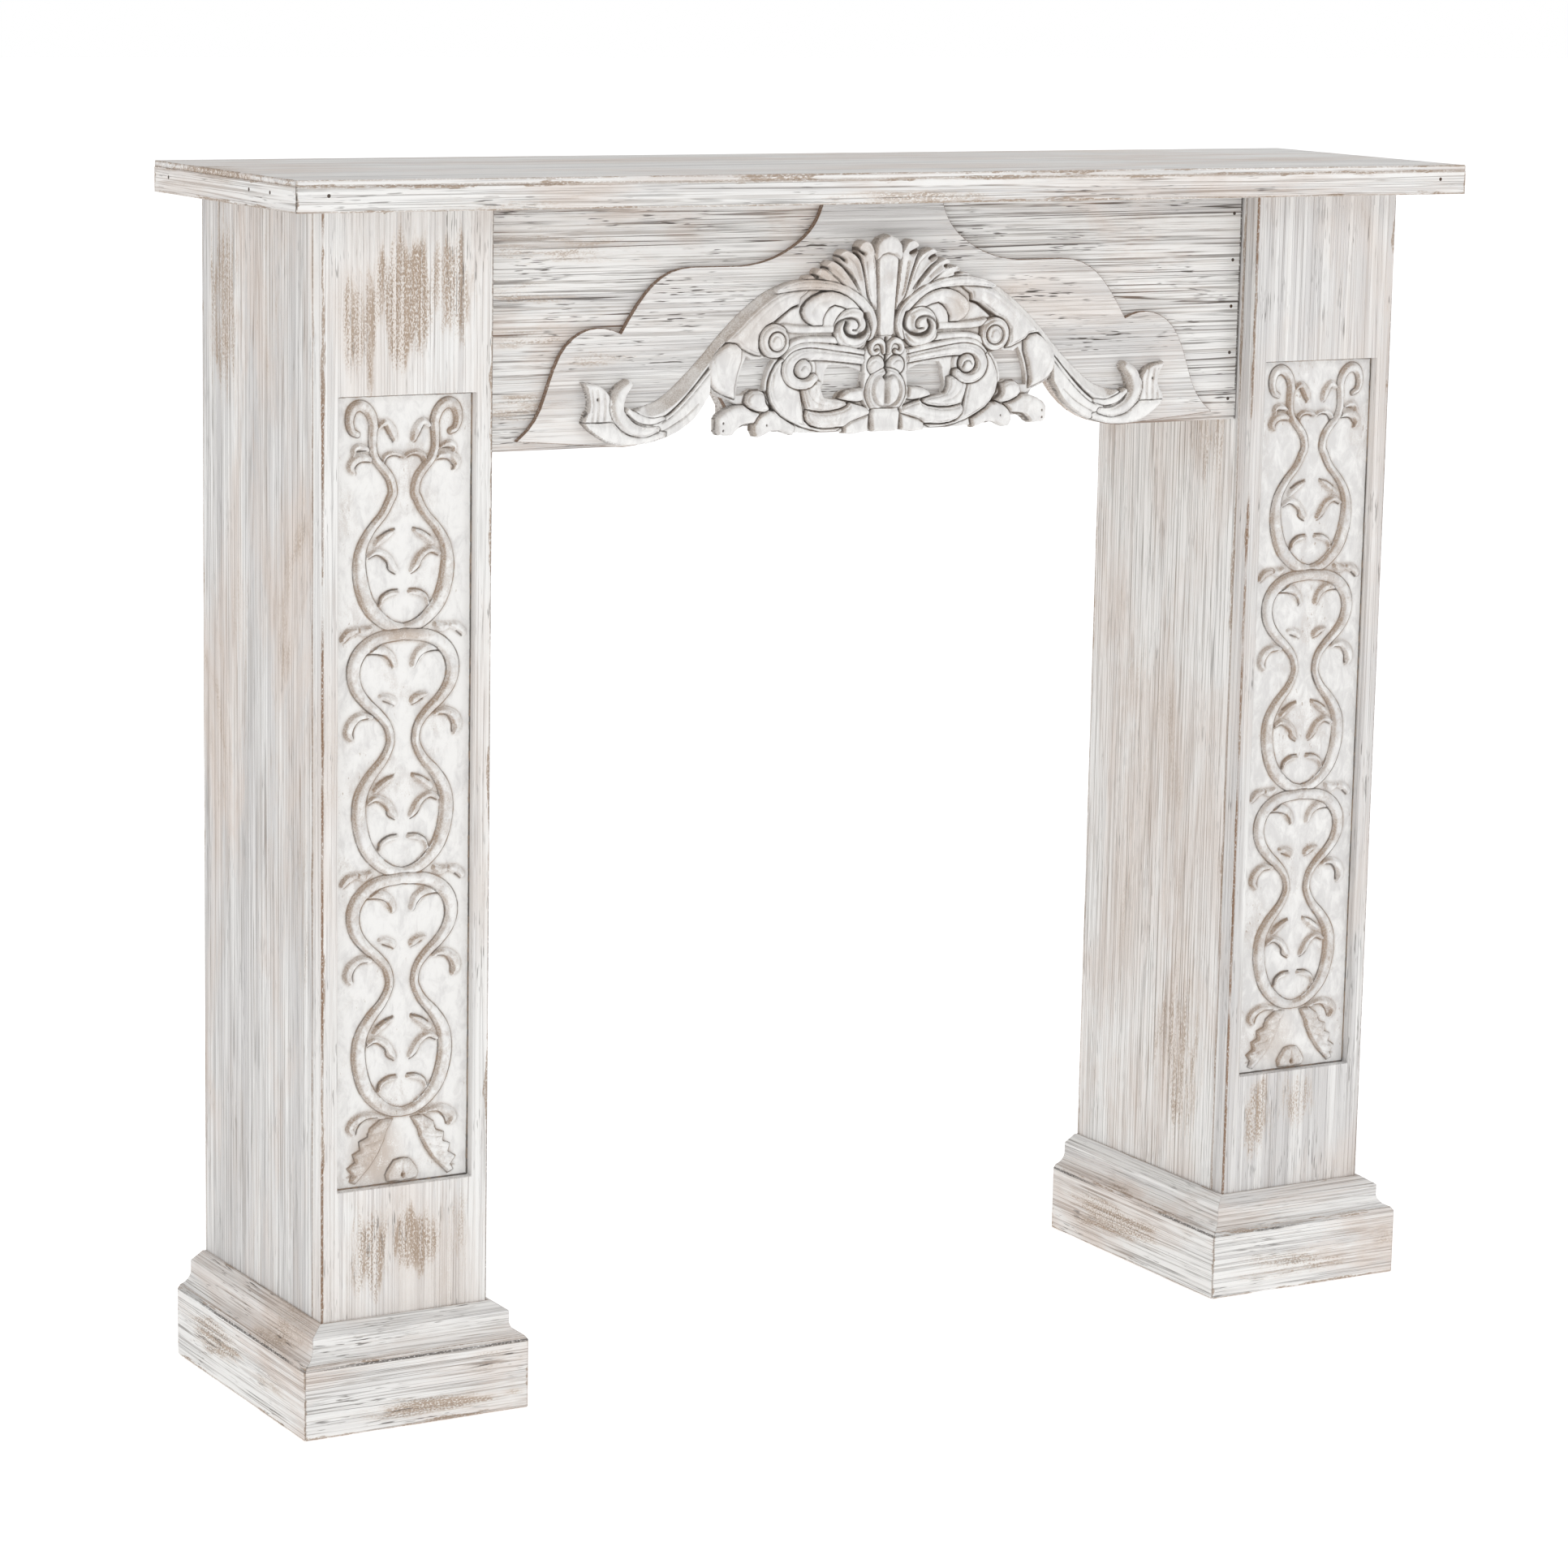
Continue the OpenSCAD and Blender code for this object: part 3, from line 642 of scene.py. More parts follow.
# Worn places on single boards: (centre, size, strength).
WORN = {
    "left_front_board": [
        ((-442, -96, 905), (20, 30, 42), 1.0),
        ((-486, -96, 888), (9, 30, 38), 0.8),
        ((-472, -96, 880), (5, 30, 46), 0.8),
        ((-402, -96, 915), (22, 30, 40), 0.8),
        ((-430, -96, 145), (18, 30, 26), 0.9),
        ((-470, -96, 140), (16, 30, 34), 0.8),
        ((-395, -96, 150), (12, 30, 30), 0.6),
    ],
    "right_front_board": [
        ((400, -96, 150), (16, 30, 34), 0.8),
        ((440, -96, 165), (20, 30, 24), 0.7),
        ((445, -96, 905), (20, 30, 40), 0.35),
    ],
    "left_outer_side": [
        ((-513, 95, 890), (30, 26, 70), 0.8),
        ((-513, 10, 900), (30, 30, 90), 0.5),
        ((-513, 60, 620), (30, 22, 90), 0.5),
        ((-513, -60, 420), (30, 12, 120), 0.5),
    ],
    "right_inner_side": [
        ((366, -40, 760), (30, 30, 60), 0.6),
        ((366, 60, 480), (30, 26, 110), 0.5),
        ((366, -20, 200), (30, 34, 70), 0.7),
    ],
    "frieze_board": [
        ((-300, -73, 940), (70, 30, 14), 0.6),
        ((-335, -73, 905), (50, 30, 9), 0.6),
        ((-315, -73, 868), (50, 30, 10), 0.6),
        ((-335, -73, 812), (40, 30, 12), 0.6),
    ],
    "frieze_apron": [
        ((-262, -79, 850), (34, 30, 8), 0.6),
        ((-300, -79, 815), (26, 30, 9), 0.4),
    ],
    "shelf_left_strip": [((-554, 30, 992), (30, 60, 3), 0.5)],
    "shelf_top": [
        ((-554, 20, 997), (30, 60, 3), 1.0),
        ((-150, 60, 1000), (160, 40, 20), 0.5),
        ((300, 40, 1000), (120, 40, 20), 0.45),
    ],
    "shelf_front_strip": [
        ((-10, -139, 980), (60, 30, 6), 0.7),
        ((-370, -139, 978), (80, 30, 5), 0.5),
    ],
    "left_outer_plinth": [((-539, 60, 35), (30, 45, 16), 0.8), ((-539, -50, 25), (30, 40, 12), 0.5)],
    "left_front_plinth": [((-430, -122, 14), (60, 30, 7), 0.8), ((-380, -122, 45), (20, 30, 8), 0.6)],
    "right_front_plinth": [((430, -122, 20), (50, 30, 12), 0.7)],
    "right_inner_plinth": [((340, 40, 32), (30, 60, 14), 0.9)],
}

WORN_CARVING = [
    ((-62, -90, 912), (26, 30, 14), 0.9),
    ((-36, -90, 932), (20, 30, 12), 0.6),
    ((72, -90, 886), (10, 30, 12), 0.6),
    ((-135, -90, 880), (30, 30, 24), 0.4),
]
WORN_PANELS = {
    "left": [((-462, -88, 218), (16, 30, 24), 0.9), ((-440, -88, 640), (16, 30, 5), 0.9)],
    "right": [((420, -88, 225), (16, 30, 20), 0.5)],
}

# Boards by the way their grain runs: X, Y or Z.
GRAIN = {
    0: ["shelf_top", "shelf_soffit", "shelf_front_strip", "frieze_board", "frieze_apron"]
    + [f"{side}_front_{part}" for side, _ in SIDES for part in ("plinth", "moulding")],
    1: ["shelf_left_strip", "shelf_right_strip"]
    + [f"{side}_{face}_{part}"
       for side, _ in SIDES for face in ("outer", "inner") for part in ("plinth", "moulding")],
    2: [f"{side}_{part}" for side, _ in SIDES for part in ("front_board", "outer_side", "inner_side")],
}
BARE_BACKS = {"shelf_soffit": (0, 0, 1), "frieze_board": (0, 1, 0)}
for side, sign in SIDES:
    BARE_BACKS[f"{side}_front_board"] = (0, 1, 0)
    BARE_BACKS[f"{side}_outer_side"] = (-sign, 0, 0)
    BARE_BACKS[f"{side}_inner_side"] = (sign, 0, 0)
# Eased edges by the end of a board's name: width in mm, segments. Drilled parts keep their sharp edges.
EASE = {
    "front_board": (1.0, 2),
    "side": (0.6, 2),
    "moulding": (0.5, 2),
    "plinth": (1.0, 2),
    "shelf_top": (0.8, 2),
    "apron": (2.6, 1),
    "wall_rail": (0.6, 2),
    "foot_cleats": (0.6, 2),
    "shelf_ribs": (0.6, 2),
}
LOOKS = {
    "frieze_board": dict(streaks=1.2, tone=1.2, lines=0.6, grey=-0.1, dashes=0.9),
    # walls: painted shade on the apron's edge faces.
    "frieze_apron": dict(streaks=0.45, tone=0.7, walls=1.0, grey=0.02, dashes=1.0),
    "shelf_top": dict(streaks=0.25, tone=0.7, lines=0.15, grey=-0.04, dashes=0.1),
    "shelf_left_strip": dict(streaks=0.7, tone=0.6, grey=-0.05, dashes=0.7),
    "shelf_front_strip": dict(streaks=0.7, tone=0.9, grey=-0.12, dashes=0.7),
    "left_front_board": dict(streaks=0.3, tone=0.55, lines=0.25, grey=-0.08, dashes=0.6),
    "right_front_board": dict(streaks=0.35, tone=0.6, grey=0.1, lines=0.25, dashes=0.6),
    "left_outer_side": dict(streaks=0.6, tone=1.1, grey=0.06, lines=0.55),
    "right_inner_side": dict(streaks=0.7, tone=0.8, grey=-0.25, lines=0.6),
    "left_outer_plinth": dict(streaks=0.7, tone=1.2, grey=-0.22, dashes=0.9),
    "left_front_plinth": dict(streaks=0.8, tone=1.1, grey=-0.12, dashes=0.8),
    "right_inner_plinth": dict(streaks=0.7, tone=1.1, grey=-0.2, dashes=0.6),
    "right_front_plinth": dict(streaks=0.7, tone=1.1, grey=-0.04, dashes=0.6),
    "left_outer_moulding": dict(streaks=0.6, tone=1.2, grey=-0.1, dashes=0.8),
    "left_front_moulding": dict(streaks=0.6, grey=-0.1, dashes=0.8),
    "right_inner_moulding": dict(streaks=0.6, tone=1.2, grey=-0.1),
}
# Side boards of a plinth that look towards +X; the others look towards -X.
RIGHT_FACING = ("right_outer", "left_inner")
MITRED_STRIPS = ("shelf_left_strip", "shelf_front_strip")
# A plinth's upper edge is cut off at a slope that starts this far below its top (mm).
PLINTH_SLOPE = 3


def dark_edges(name, low, high):
    """The edges of a board with a dark line, as whitewash takes them: worn brown arrises, dark joints, and
    a painted shadow in the gap at the frieze board's end.
    """
    if name == "frieze_board":
        # Painted shadow in the gap between the frieze board's end and the right leg.
        return (({0: high.x, 1: low.y}, 1.8, 0.95, DARK_LINE),)
    if name.endswith("front_board"):
        return ({0: low.x, 1: low.y}, 2.2, 0.9, EDGE_DARK), ({0: high.x, 1: low.y}, 1.3, 0.8, DARK_LINE)
    if name in MITRED_STRIPS:
        return (({0: low.x, 1: low.y}, 1.4, 0.95, DARK_LINE),)
    if name.endswith("plinth"):
        face = {1: low.y} if "front" in name else {0: (high if name.startswith(RIGHT_FACING) else low).x}
        return (({**face, 2: high.z - PLINTH_SLOPE * MM}, 1.5, 0.9, DARK_LINE),)
    return ()


def ease_named(name):
    for part, (width, segments) in EASE.items():
        if name.endswith(part):
            ease_edges(NODES[name], width, segments)


def paint_boards():
    seed = 0
    for along, names in GRAIN.items():
        for name in names:
            seed += 1
            low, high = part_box(name)
            box = None if name in ("frieze_board", "frieze_apron") else (tuple(low), tuple(high))
            paint = whitewash(f"{name}_wash", along, seed, box, WORN.get(name, ()), BARE_BACKS.get(name),
                              dark_edges(name, low, high), **LOOKS.get(name, {}))
            coat(NODES[name], paint)
            ease_named(name)


def finish_hidden_parts():
    """Bare battens, cleats and rails, the hardboard behind the panels, and the steel fixings."""
    grains = {"wall_rail": 0, "top_cleats": 0, "foot_cleats": 0, "frieze_cleat": 2, "frieze_top_cleat": 0,
              "shelf_back_batten": 0, "shelf_front_batten": 0, "shelf_ribs": 1}
    seed = 60
    for part, axis in grains.items():
        for name in [n for n in NODES if n.endswith(part)]:
            seed += 1
            coat(NODES[name], bare_wood(f"{name}_pine", axis, seed))
            ease_named(name)
    for side, _ in SIDES:
        coat(NODES[f"{side}_panel_backing"], hardboard(f"{side}_backing_board", seed))
    for name in ("frieze_nails", "shelf_nails", "shelf_screws"):
        coat(NODES[name], old_steel(f"{name}_steel", seed))


# ---- scrolls ----

SCROLL_STEP = 0.65
SLOPE_WIDTH = 9.0
SLOPE_FOOT = 1.0
SLOPE_RISE = 8.6


def scroll_relief():
    """The right-hand scroll, measured from the middle of the frieze's lower edge."""
    foot = smooth([(72, 132), (95, 128), (114, 121), (136, 105), (155.5, 87), (170.5, 71), (185, 57),
        (200, 44), (212, 36.5), (222, 33)])
    silhouette = smooth([(280, 22), (275, 15.5), (265, 8.5), (255, 4), (240, 2), (222, 3), (210, 5.5),
        (200, 9), (190, 14), (177, 24), (165, 41)])
    crest = smooth([(164, 66), (158, 75), (142, 90), (125, 105), (111, 114), (92, 121), (74, 124)])
    body = np.vstack([foot, [(236, 30), (258, 30), (278, 30)], silhouette, crest])
    r = Relief((68, 0), (284, 135), SCROLL_STEP)
    r.plate(body, 8.0, 4.5, 2.0, moat=0)
    # A long slope climbs from the board to the crest.
    away, _ = nearest(foot, r.x, r.z)
    slope = SLOPE_FOOT + SLOPE_RISE * np.clip(away / SLOPE_WIDTH, 0, 1) ** 1.15
    r.height = np.where(r.inside > 0, np.minimum(r.height + 1.6, slope), r.height)
    line = smooth([(84, 121.5), (101, 115), (119, 106), (136, 92), (152, 77), (167, 62), (180, 48),
        (192, 36), (203, 27), (212, 22)])
    r.groove(line, 1.0, 2.6, 0.95)
    r.groove(line + (-2.2, -2.8), 0.7, 1.4, 0.6)
    r.groove(smooth([(176, 34), (188, 24), (200, 17), (210, 12)]), [0.5, 0.9], 1.4, 0.5)
    # The leafy end: a fluted outer leaf, a broad lower leaf, and the curled inner leaf over them.
    outer = np.vstack([smooth([(281, 54), (270, 52.5), (262, 49), (257, 44)]), [(250, 30), (256, 20),
        (281, 21)], smooth([(280, 24), (275, 34), (276, 44), (281, 54)])])
    r.plate(outer, 8.8, 5.0, 3.0)
    for x in (262, 268, 273):
        r.groove(smooth([(x, 23), (x - 0.5, 36), (x + 1, 48)]), 1.1, 1.5, 0.3)
    lower = np.vstack([smooth([(281, 21.5), (266, 21), (255, 21), (248, 16), (236, 11), (222, 14),
        (206, 12)]), smooth([(206, 7), (222, 3), (240, 2), (255, 4), (265, 8.5), (275, 15.5),
        (281, 21.5)])])
    r.plate(lower, 9.2, 5.0, 6.0, moat=0.9)
    r.stroke([(214, 14), (226, 12.5), (238, 16), (247, 24), (250, 34), (247, 44), (240, 51)],
        [2.5, 4, 5, 6, 7, 7, 4.5], [8, 9.5, 10.5, 11.5, 12, 11.5, 10.5], 5.5, crowned)
    r.stroke([(208, 23), (220, 21), (231, 24), (240, 30)], [1.5, 2.5, 3, 2.6], [8.5, 9.5, 10, 9.5], 5.5)
    r.groove(smooth([(218, 17.5), (232, 19.5), (241, 27)]), 0.9, 1.8, 0.7)
    r.groove([(268, 39.7), (268, 40.3)], 0.9, 1.2, 1.0)
    return r


# ---- central carving ----

CARVING_STEP = 0.6
# How high the flat ground under the leaves stands.
GROUND = 6.0

# All points lie on the right half; z is measured from the floor.
CARVING_GROUND = [(0, 929), (24, 929), (41, 923), (58, 914), (74, 904), (95, 899), (112, 892), (128, 882),
    (146, 867), (164, 848), (166, 825), (157, 818), (147, 814), (138, 809), (124, 801), (116, 788),
    (96, 786), (60, 784), (24, 784), (0, 784)]
SIDE_WINDOW = [(131, 849.5), (135.5, 840), (139, 828), (140, 818), (134, 818), (127, 822.5), (119, 822.5),
    (114.5, 820.5), (113.5, 829), (110.5, 838), (105, 845.5), (112, 848.5), (118, 847), (127, 846.5)]
EYE_WINDOW = [(20, 832.5), (30, 837), (42, 839.5), (53, 840), (56.5, 835), (57, 828), (59.5, 820),
    (57, 813), (46, 812), (43, 816.5), (36, 819.5), (23, 820.5)]

# Flutes of the shell, the lowest first: the way from tip to root, its half widths, the pocket at its tip.
FLUTES = [
    ([(76, 910.5), (69, 910.5), (61, 908.5), (53, 905)], [3.3, 3.6, 3.0, 1.6], [(79, 909.5), (75, 909)]),
    ([(65.5, 915.5), (59, 914), (52, 909.5), (45, 905), (36, 900)], [4.2, 4.2, 3.4, 2.4, 1.5], [(70, 914),
     (66, 912.5)]),
    ([(55, 921), (49.5, 918), (44, 913.5), (38, 908), (32, 902), (25, 895)],
     [5.0, 5.2, 4.4, 3.6, 2.8, 1.8], [(60, 920.5), (56, 919)]),
    ([(41.5, 928), (35.5, 924.5), (30.5, 918), (26.5, 909.5), (22.5, 900), (16, 889)],
     [6.6, 6.8, 5.4, 4.2, 3.2, 1.6], [(48, 929.5), (44, 927.5), (41, 925.5)]),
    ([(22.5, 934.5), (19.3, 928), (18, 919), (16, 908.5), (14, 898), (11, 886)],
     [7.4, 7.3, 6.0, 5.0, 4.2, 2.4], [(31, 936.5), (27, 933), (22.5, 930.5)]),
]
CAP = [(-12, 925), (-13.5, 930), (-12.5, 938), (-8, 943.5), (0, 946.5), (8, 943.5), (12.5, 938),
    (13.5, 930), (12, 925), (9.5, 926.5), (5.5, 930), (0, 931.5), (-5.5, 930), (-9.5, 926.5)]
# Dark lines between and inside the flutes: points, half width, depth, darkness.
SHELL_LINES = [
    ([(33, 935), (27.5, 928.5), (25, 922), (22.5, 914), (21, 908), (19.5, 901), (17, 894), (12, 886.5),
     (9, 881)], 0.9, 2.2, 0.9),
    ([(50, 926), (44, 922), (38, 917), (33, 912), (28.5, 906), (25.5, 901)], 0.9, 2.0, 0.8),
    ([(58, 919), (52, 914), (46, 910), (41, 905)], 0.8, 1.8, 0.7),
    ([(66, 913), (58, 909.5), (50, 904.5)], 0.7, 1.5, 0.5),
    ([(13, 929), (11.8, 922), (10.8, 914), (9.5, 903), (8.6, 892), (8, 882), (7.6, 872)], 0.8, 2.0, 0.6),
    ([(15, 932), (14, 922), (12.8, 912)], 0.7, 1.2, 0.45),
    ([(20, 924), (18.6, 914), (17, 904), (15, 896)], 0.7, 1.4, 0.5),
    ([(38, 928.5), (31.5, 923), (28.3, 917), (25.5, 909)], 0.6, 1.2, 0.45),
    ([(53, 920.5), (46.5, 915.5), (41, 910.5)], 0.6, 1.2, 0.45),
    ([(3.5, 924), (3.2, 905), (2.6, 885)], 0.6, 0.4, 0.12),
]


def carve_shell(r):
    for way, widths, pocket in FLUTES:
        r.stroke(way, widths, [12.0, 11.4, 10.5, 9.6, 9.0], 6.5, scooped, ink=0.6)
        r.groove(pocket, 1.5, 5.0, 1.0)
    r.stroke([(0, 930), (0, 915), (0, 900), (0, 880), (0, 867)], [10.5, 9.6, 9.0, 8.0, 7.2],
        [11, 10.5, 10, 10, 9.5], 7.0, scooped, ink=0.5)
    for points, half, depth, ink in SHELL_LINES:
        r.groove(points, half, depth, ink)
    r.plate(CAP, 13.0, 8.5, 4.0, ink=0.7)


LOOP = [(20, 880.5), (26, 886.5), (32, 892), (38, 896), (45, 899), (53, 900.8), (62, 900), (70, 897),
    (76, 893), (80, 888.5), (81, 884), (79, 879.5), (75, 875.5), (70, 873)]
LOOP_INNER = [(61, 873), (61, 878), (58.5, 883), (55, 887.3), (50, 889.5), (43, 888), (36, 885),
    (28, 882.3)]
UPPER_LEAF = [(72, 904), (84, 904), (95, 902.5), (104, 899.5), (112, 895), (121, 889), (131, 881),
    (141, 872), (148.5, 866), (152.5, 861.5), (147, 861.3), (140.5, 860.3), (137, 856.5), (131, 853.5),
    (124, 850.5), (118, 849.5), (120.5, 856), (120, 866), (114, 873.5), (106, 877.5), (98, 883),
    (90, 888), (83, 890.5), (82, 896), (76, 900)]


def carve_upper_volutes(r):
    """The loop and volute under the shell, the volute beside it, and the leaf that wraps that one."""
    r.plate(UPPER_LEAF, 10.8, 6.5, 7.0, ink=0.8, rim=0.7)
    r.groove([(90, 899), (103, 894), (116, 885), (127, 874), (133, 864)], 0.8, 0.7, 0.12)
    r.groove([(83.5, 889.5), (90, 887.3), (97, 882.3), (104, 877)], 1.2, 3.5, 1.0)
    r.stroke([(104, 902), (92, 905), (78, 906.5), (64, 906), (52, 904.5), (41, 901.5), (31, 896),
        (22, 889), (15.5, 881), (13, 872), (16, 863)],
        [2.2, 3.6, 4.2, 4.2, 4.0, 3.6, 3.6, 4.2, 4.4, 4.2, 4.0], 10.5, 7.0, soft, ink=0.7, rim=0.8)
    r.stroke([(48, 869.5), (62, 869.8), (76, 869.8), (88, 870.5), (97, 872)], 3.0, 9.6, 6.5, ink=0.5)
    r.stroke([(46, 860.3), (62, 861), (77, 861), (87, 859.2), (95, 855), (103, 850)], 3.0, 10.2, 6.5,
        ink=0.6)
    r.disc((106.5, 861.5), 14, 12.3, 6.5, 6.0, ink=0.9, rim=0.9)
    r.groove([(92, 866), (97, 870), (103, 873)], 0.8, 1.0, 0.3)
    r.disc((105, 861), 7.6, 12.6, 7.0, 5.5, moat=1.3, moat_depth=3.0, ink=1.0)
    r.groove([(101, 859), (102.5, 864), (107, 865), (109.5, 861)], [0.6, 0.8, 0.8, 0.5], 1.4, 0.45)
    r.plate([(24, 880), (36, 886), (50, 890), (60, 883), (62, 872), (50, 872), (46, 877), (34, 880)], 8.6,
        6.5, 3.0, moat=0, ink=0)
    r.plate(LOOP + LOOP_INNER, 11.6, 7.5, 6.0, ink=1.0)
    r.groove([(56, 893.5), (66, 891), (72, 884)], 2.2, 1.4, 0.1)
    r.disc((32.7, 869), 17.2, 12.6, 6.5, 7.0, ink=0.9, rim=0.9)
    r.groove([(19.5, 881), (17.8, 874), (18.8, 868.5), (24, 864.3), (31, 863), (38, 865), (41, 870),
        (39.3, 874.8)], 1.9, 5.5, 1.0)
    r.groove([(23, 877), (22.5, 871), (26, 867)], 3.0, 4.5, 0.3)
    r.groove([(17.5, 864), (22, 858.5), (30, 855.6), (39, 857), (45.5, 862.5), (47.5, 869)], 0.7, 1.2, 0.45)
    r.groove([(49, 868), (47.5, 873), (43.5, 876.6), (37, 878.2), (30.5, 877), (27.6, 872.8),
        (29.5, 868.6), (34, 868.6)], [1.2, 1.4, 1.5, 1.5, 1.5, 1.3, 1.0, 0.7], 4.0, 0.8)


CRESCENT = [(99, 847), (104, 842), (108, 835), (110.5, 828), (111, 820), (109, 812), (105, 806),
    (99, 800), (90, 795), (80, 790.5), (70, 787.5), (60, 785.5), (46, 785), (40, 788), (60, 788),
    (70, 790), (76, 795), (78, 805), (80, 815), (82, 826), (92, 829), (97, 836), (96, 843)]
TONGUE = [(36, 806.5), (43, 803.8), (52, 802.3), (62, 802), (70, 803), (75, 804.5), (77.5, 811),
    (79.5, 818), (81, 826), (74, 828), (66, 828), (61, 826.5), (61, 820), (58.5, 814), (52, 812.5),
    (44, 811.5), (38, 810)]
INNER_LEAF = [(21.5, 820.5), (30, 820), (37, 818.8), (42, 816.3), (44.8, 812.3), (40, 811), (34, 809.8),
    (27, 809), (20, 810)]
BOWL = [(14, 803), (24, 806), (34, 809), (36.5, 806), (42, 803.5), (52, 801.8), (62, 801.5), (70, 802.8),
    (75, 804), (77, 799.5), (75.5, 795.5), (71, 791.5), (64, 789), (55, 788), (44, 788.8), (38, 789),
    (33, 792), (25, 794.8), (15, 798)]
STACK = [(-1, 863), (9, 862.5), (16.5, 857), (20.5, 850), (21.5, 838), (22, 820), (21, 808), (16, 802),
    (-1, 801)]


def carve_masks(r):
    """The lower volutes, the two broad crescents, their tails, and the stack on the middle line."""
    r.stroke([(16, 848.5), (30, 850.5), (44, 853), (58, 855), (72, 856), (84, 855), (92, 851),
        (98, 845.5)], [2.6, 2.8, 3.0, 3.0, 3.0, 3.0, 2.8, 2.2], 10.4, 6.5, ink=0.6)
    r.plate(CRESCENT, 10.2, 6.0, 10.0, ink=0.9, rim=0.6)
    r.groove([(106.5, 834), (107.5, 822), (104, 812), (97, 803.5), (88, 797.5), (76, 792.5)], 0.7, 0.6,
        0.15)
    r.plate(TONGUE, 11.3, 6.5, 5.0, ink=0.7, rim=0.7)
    r.groove([(56, 807), (66, 809.5), (72, 815), (75, 823)], 0.9, 1.2, 0.4)
    r.groove([(62, 812.5), (66, 817), (68, 823)], 0.8, 1.0, 0.3)
    r.plate(BOWL, 12.2, 7.0, 7.0, ink=0.8, rim=0.7)
    r.groove([(22, 799), (36, 798), (50, 795), (62, 795)], 1.2, 0.7, 0.08)
    r.disc((80, 837.5), 14.0, 8.4, 6.5, 4.0, ink=0.3)
    r.stroke([(16, 842.5), (32, 845), (48, 847.2), (63, 849), (77, 849.3), (88, 846), (93.6, 838.5),
        (91.5, 830.5), (84, 826), (75.5, 826.2), (69, 830)],
        [3.6, 3.8, 4.0, 4.2, 4.6, 5.2, 5.6, 5.6, 5.2, 4.6, 3.8], [11, 11.2, 11.4, 11.8, 12.4, 12.8], 6.5,
        ink=0.9, rim=0.8)
    r.groove([(22, 845), (38, 848), (54, 850), (68, 851.3), (80, 850.6), (90, 845.5)], 0.6, 1.0, 0.35)
    r.disc((79, 837.8), 7.9, 13.0, 6.5, 6.5, moat=1.3, moat_depth=3.0, ink=1.0)
    r.groove([(74, 834.5), (75.5, 839), (79.5, 840.2), (82.5, 837)], [0.7, 0.9, 0.9, 0.6], 1.8, 0.6)
    r.plate(INNER_LEAF, 12.2, 6.5, 4.0, ink=0.9)
    r.plate(STACK, 9.0, 5.5, 2.0, ink=0.6)
    r.stroke([(2, 849.5), (3.5, 856), (8, 859), (13.3, 857), (15, 852), (12, 848.5), (8.3, 850)],
        [2.0, 2.3, 2.5, 2.5, 2.2, 2.0, 1.8], 11.5, 7.5, ink=0.8)
    r.disc((9.5, 838.5), 8.3, 12.6, 7.0, 7.0, ink=0.9)
    r.groove([(5.5, 839.5), (8.5, 842), (13, 842.2), (16, 839)], 0.7, 0.9, 0.4)
    r.disc((0, 817), 19.5, 12.8, 6.5, 5.0, ink=0.8, rim=0.9)
    r.groove([(0.5, 828), (6, 830), (11, 827), (13.5, 818), (11, 809.5), (5, 805), (0, 804.3)], 1.7, 3.2,
        0.45)
    r.groove([(0, 808), (0, 829)], 2.6, 4.0, 0.5)
    r.groove([(0, 829), (0, 845), (0, 861)], 1.4, 4.2, 0.95)
    r.plate([(-12, 803), (12, 803), (14.2, 799), (13, 786), (11.5, 783.5), (-11.5, 783.5)], 11.5, 6.5,
        4.0, ink=0.8)
    r.plate([(15, 798), (25, 795), (33, 792.5), (38.5, 789), (38.5, 782.8), (28, 782.3), (16, 784)], 10.0,
        6.0, 3.0)


CORNER_LEAF = [(136, 856), (141, 860), (148, 861), (155, 857.5), (161, 852), (166.5, 845), (168, 836),
    (166, 829), (161, 823.5), (155, 820), (149, 817.5), (142, 815), (142.5, 824), (140, 836),
    (136.5, 846)]
LOW_LEAF = [(87, 783), (93, 785), (100, 788), (108, 787.5), (114, 784.5), (118, 783), (122.5, 783.3),
    (125, 788), (125, 794), (122.5, 798), (118, 801), (110, 804.5), (104, 804), (99, 799.5), (92, 795),
    (85, 791)]
FINGER = [(118, 802.5), (126, 805), (134, 810), (141, 810), (150, 807), (157, 803), (159.5, 799),
    (159.3, 789), (157, 786), (150, 785.5), (145, 785), (141, 787.5), (137, 791), (130, 793.5),
    (124, 794.5), (121, 799)]
LOBE = [(107, 806.5), (111, 813), (114, 819), (120, 821.5), (127, 821.5), (132, 818), (133.5, 812),
    (130, 808), (122, 804.5), (114, 803.5)]


def carve_lower_leaves(r):
    r.plate(CORNER_LEAF, 11.0, 6.0, 7.0, ink=0.8)
    r.groove([(163, 846), (160, 835), (154, 825)], 0.8, 1.0, 0.15)
    r.plate(LOW_LEAF, 10.5, 6.0, 5.0, ink=0.8)
    r.plate(FINGER, 11.2, 6.0, 5.0, ink=0.8)
    r.plate(LOBE, 12.2, 6.5, 6.0, ink=0.9, rim=0.7)
    r.groove([(113.5, 819), (113, 812), (109.5, 808), (106, 805)], 1.7, 5.0, 1.0)
    r.groove([(125, 794.5), (134, 793.8), (139, 791), (142.5, 787.5)], 1.0, 3.0, 0.9)
    # Small dots pressed into the leaves.
    for x, z in ((154, 796), (154, 790), (113, 793), (152.5, 861), (127, 860)):
        r.groove([(x, z - 0.3), (x, z + 0.3)], 0.9, 1.2, 1.0)


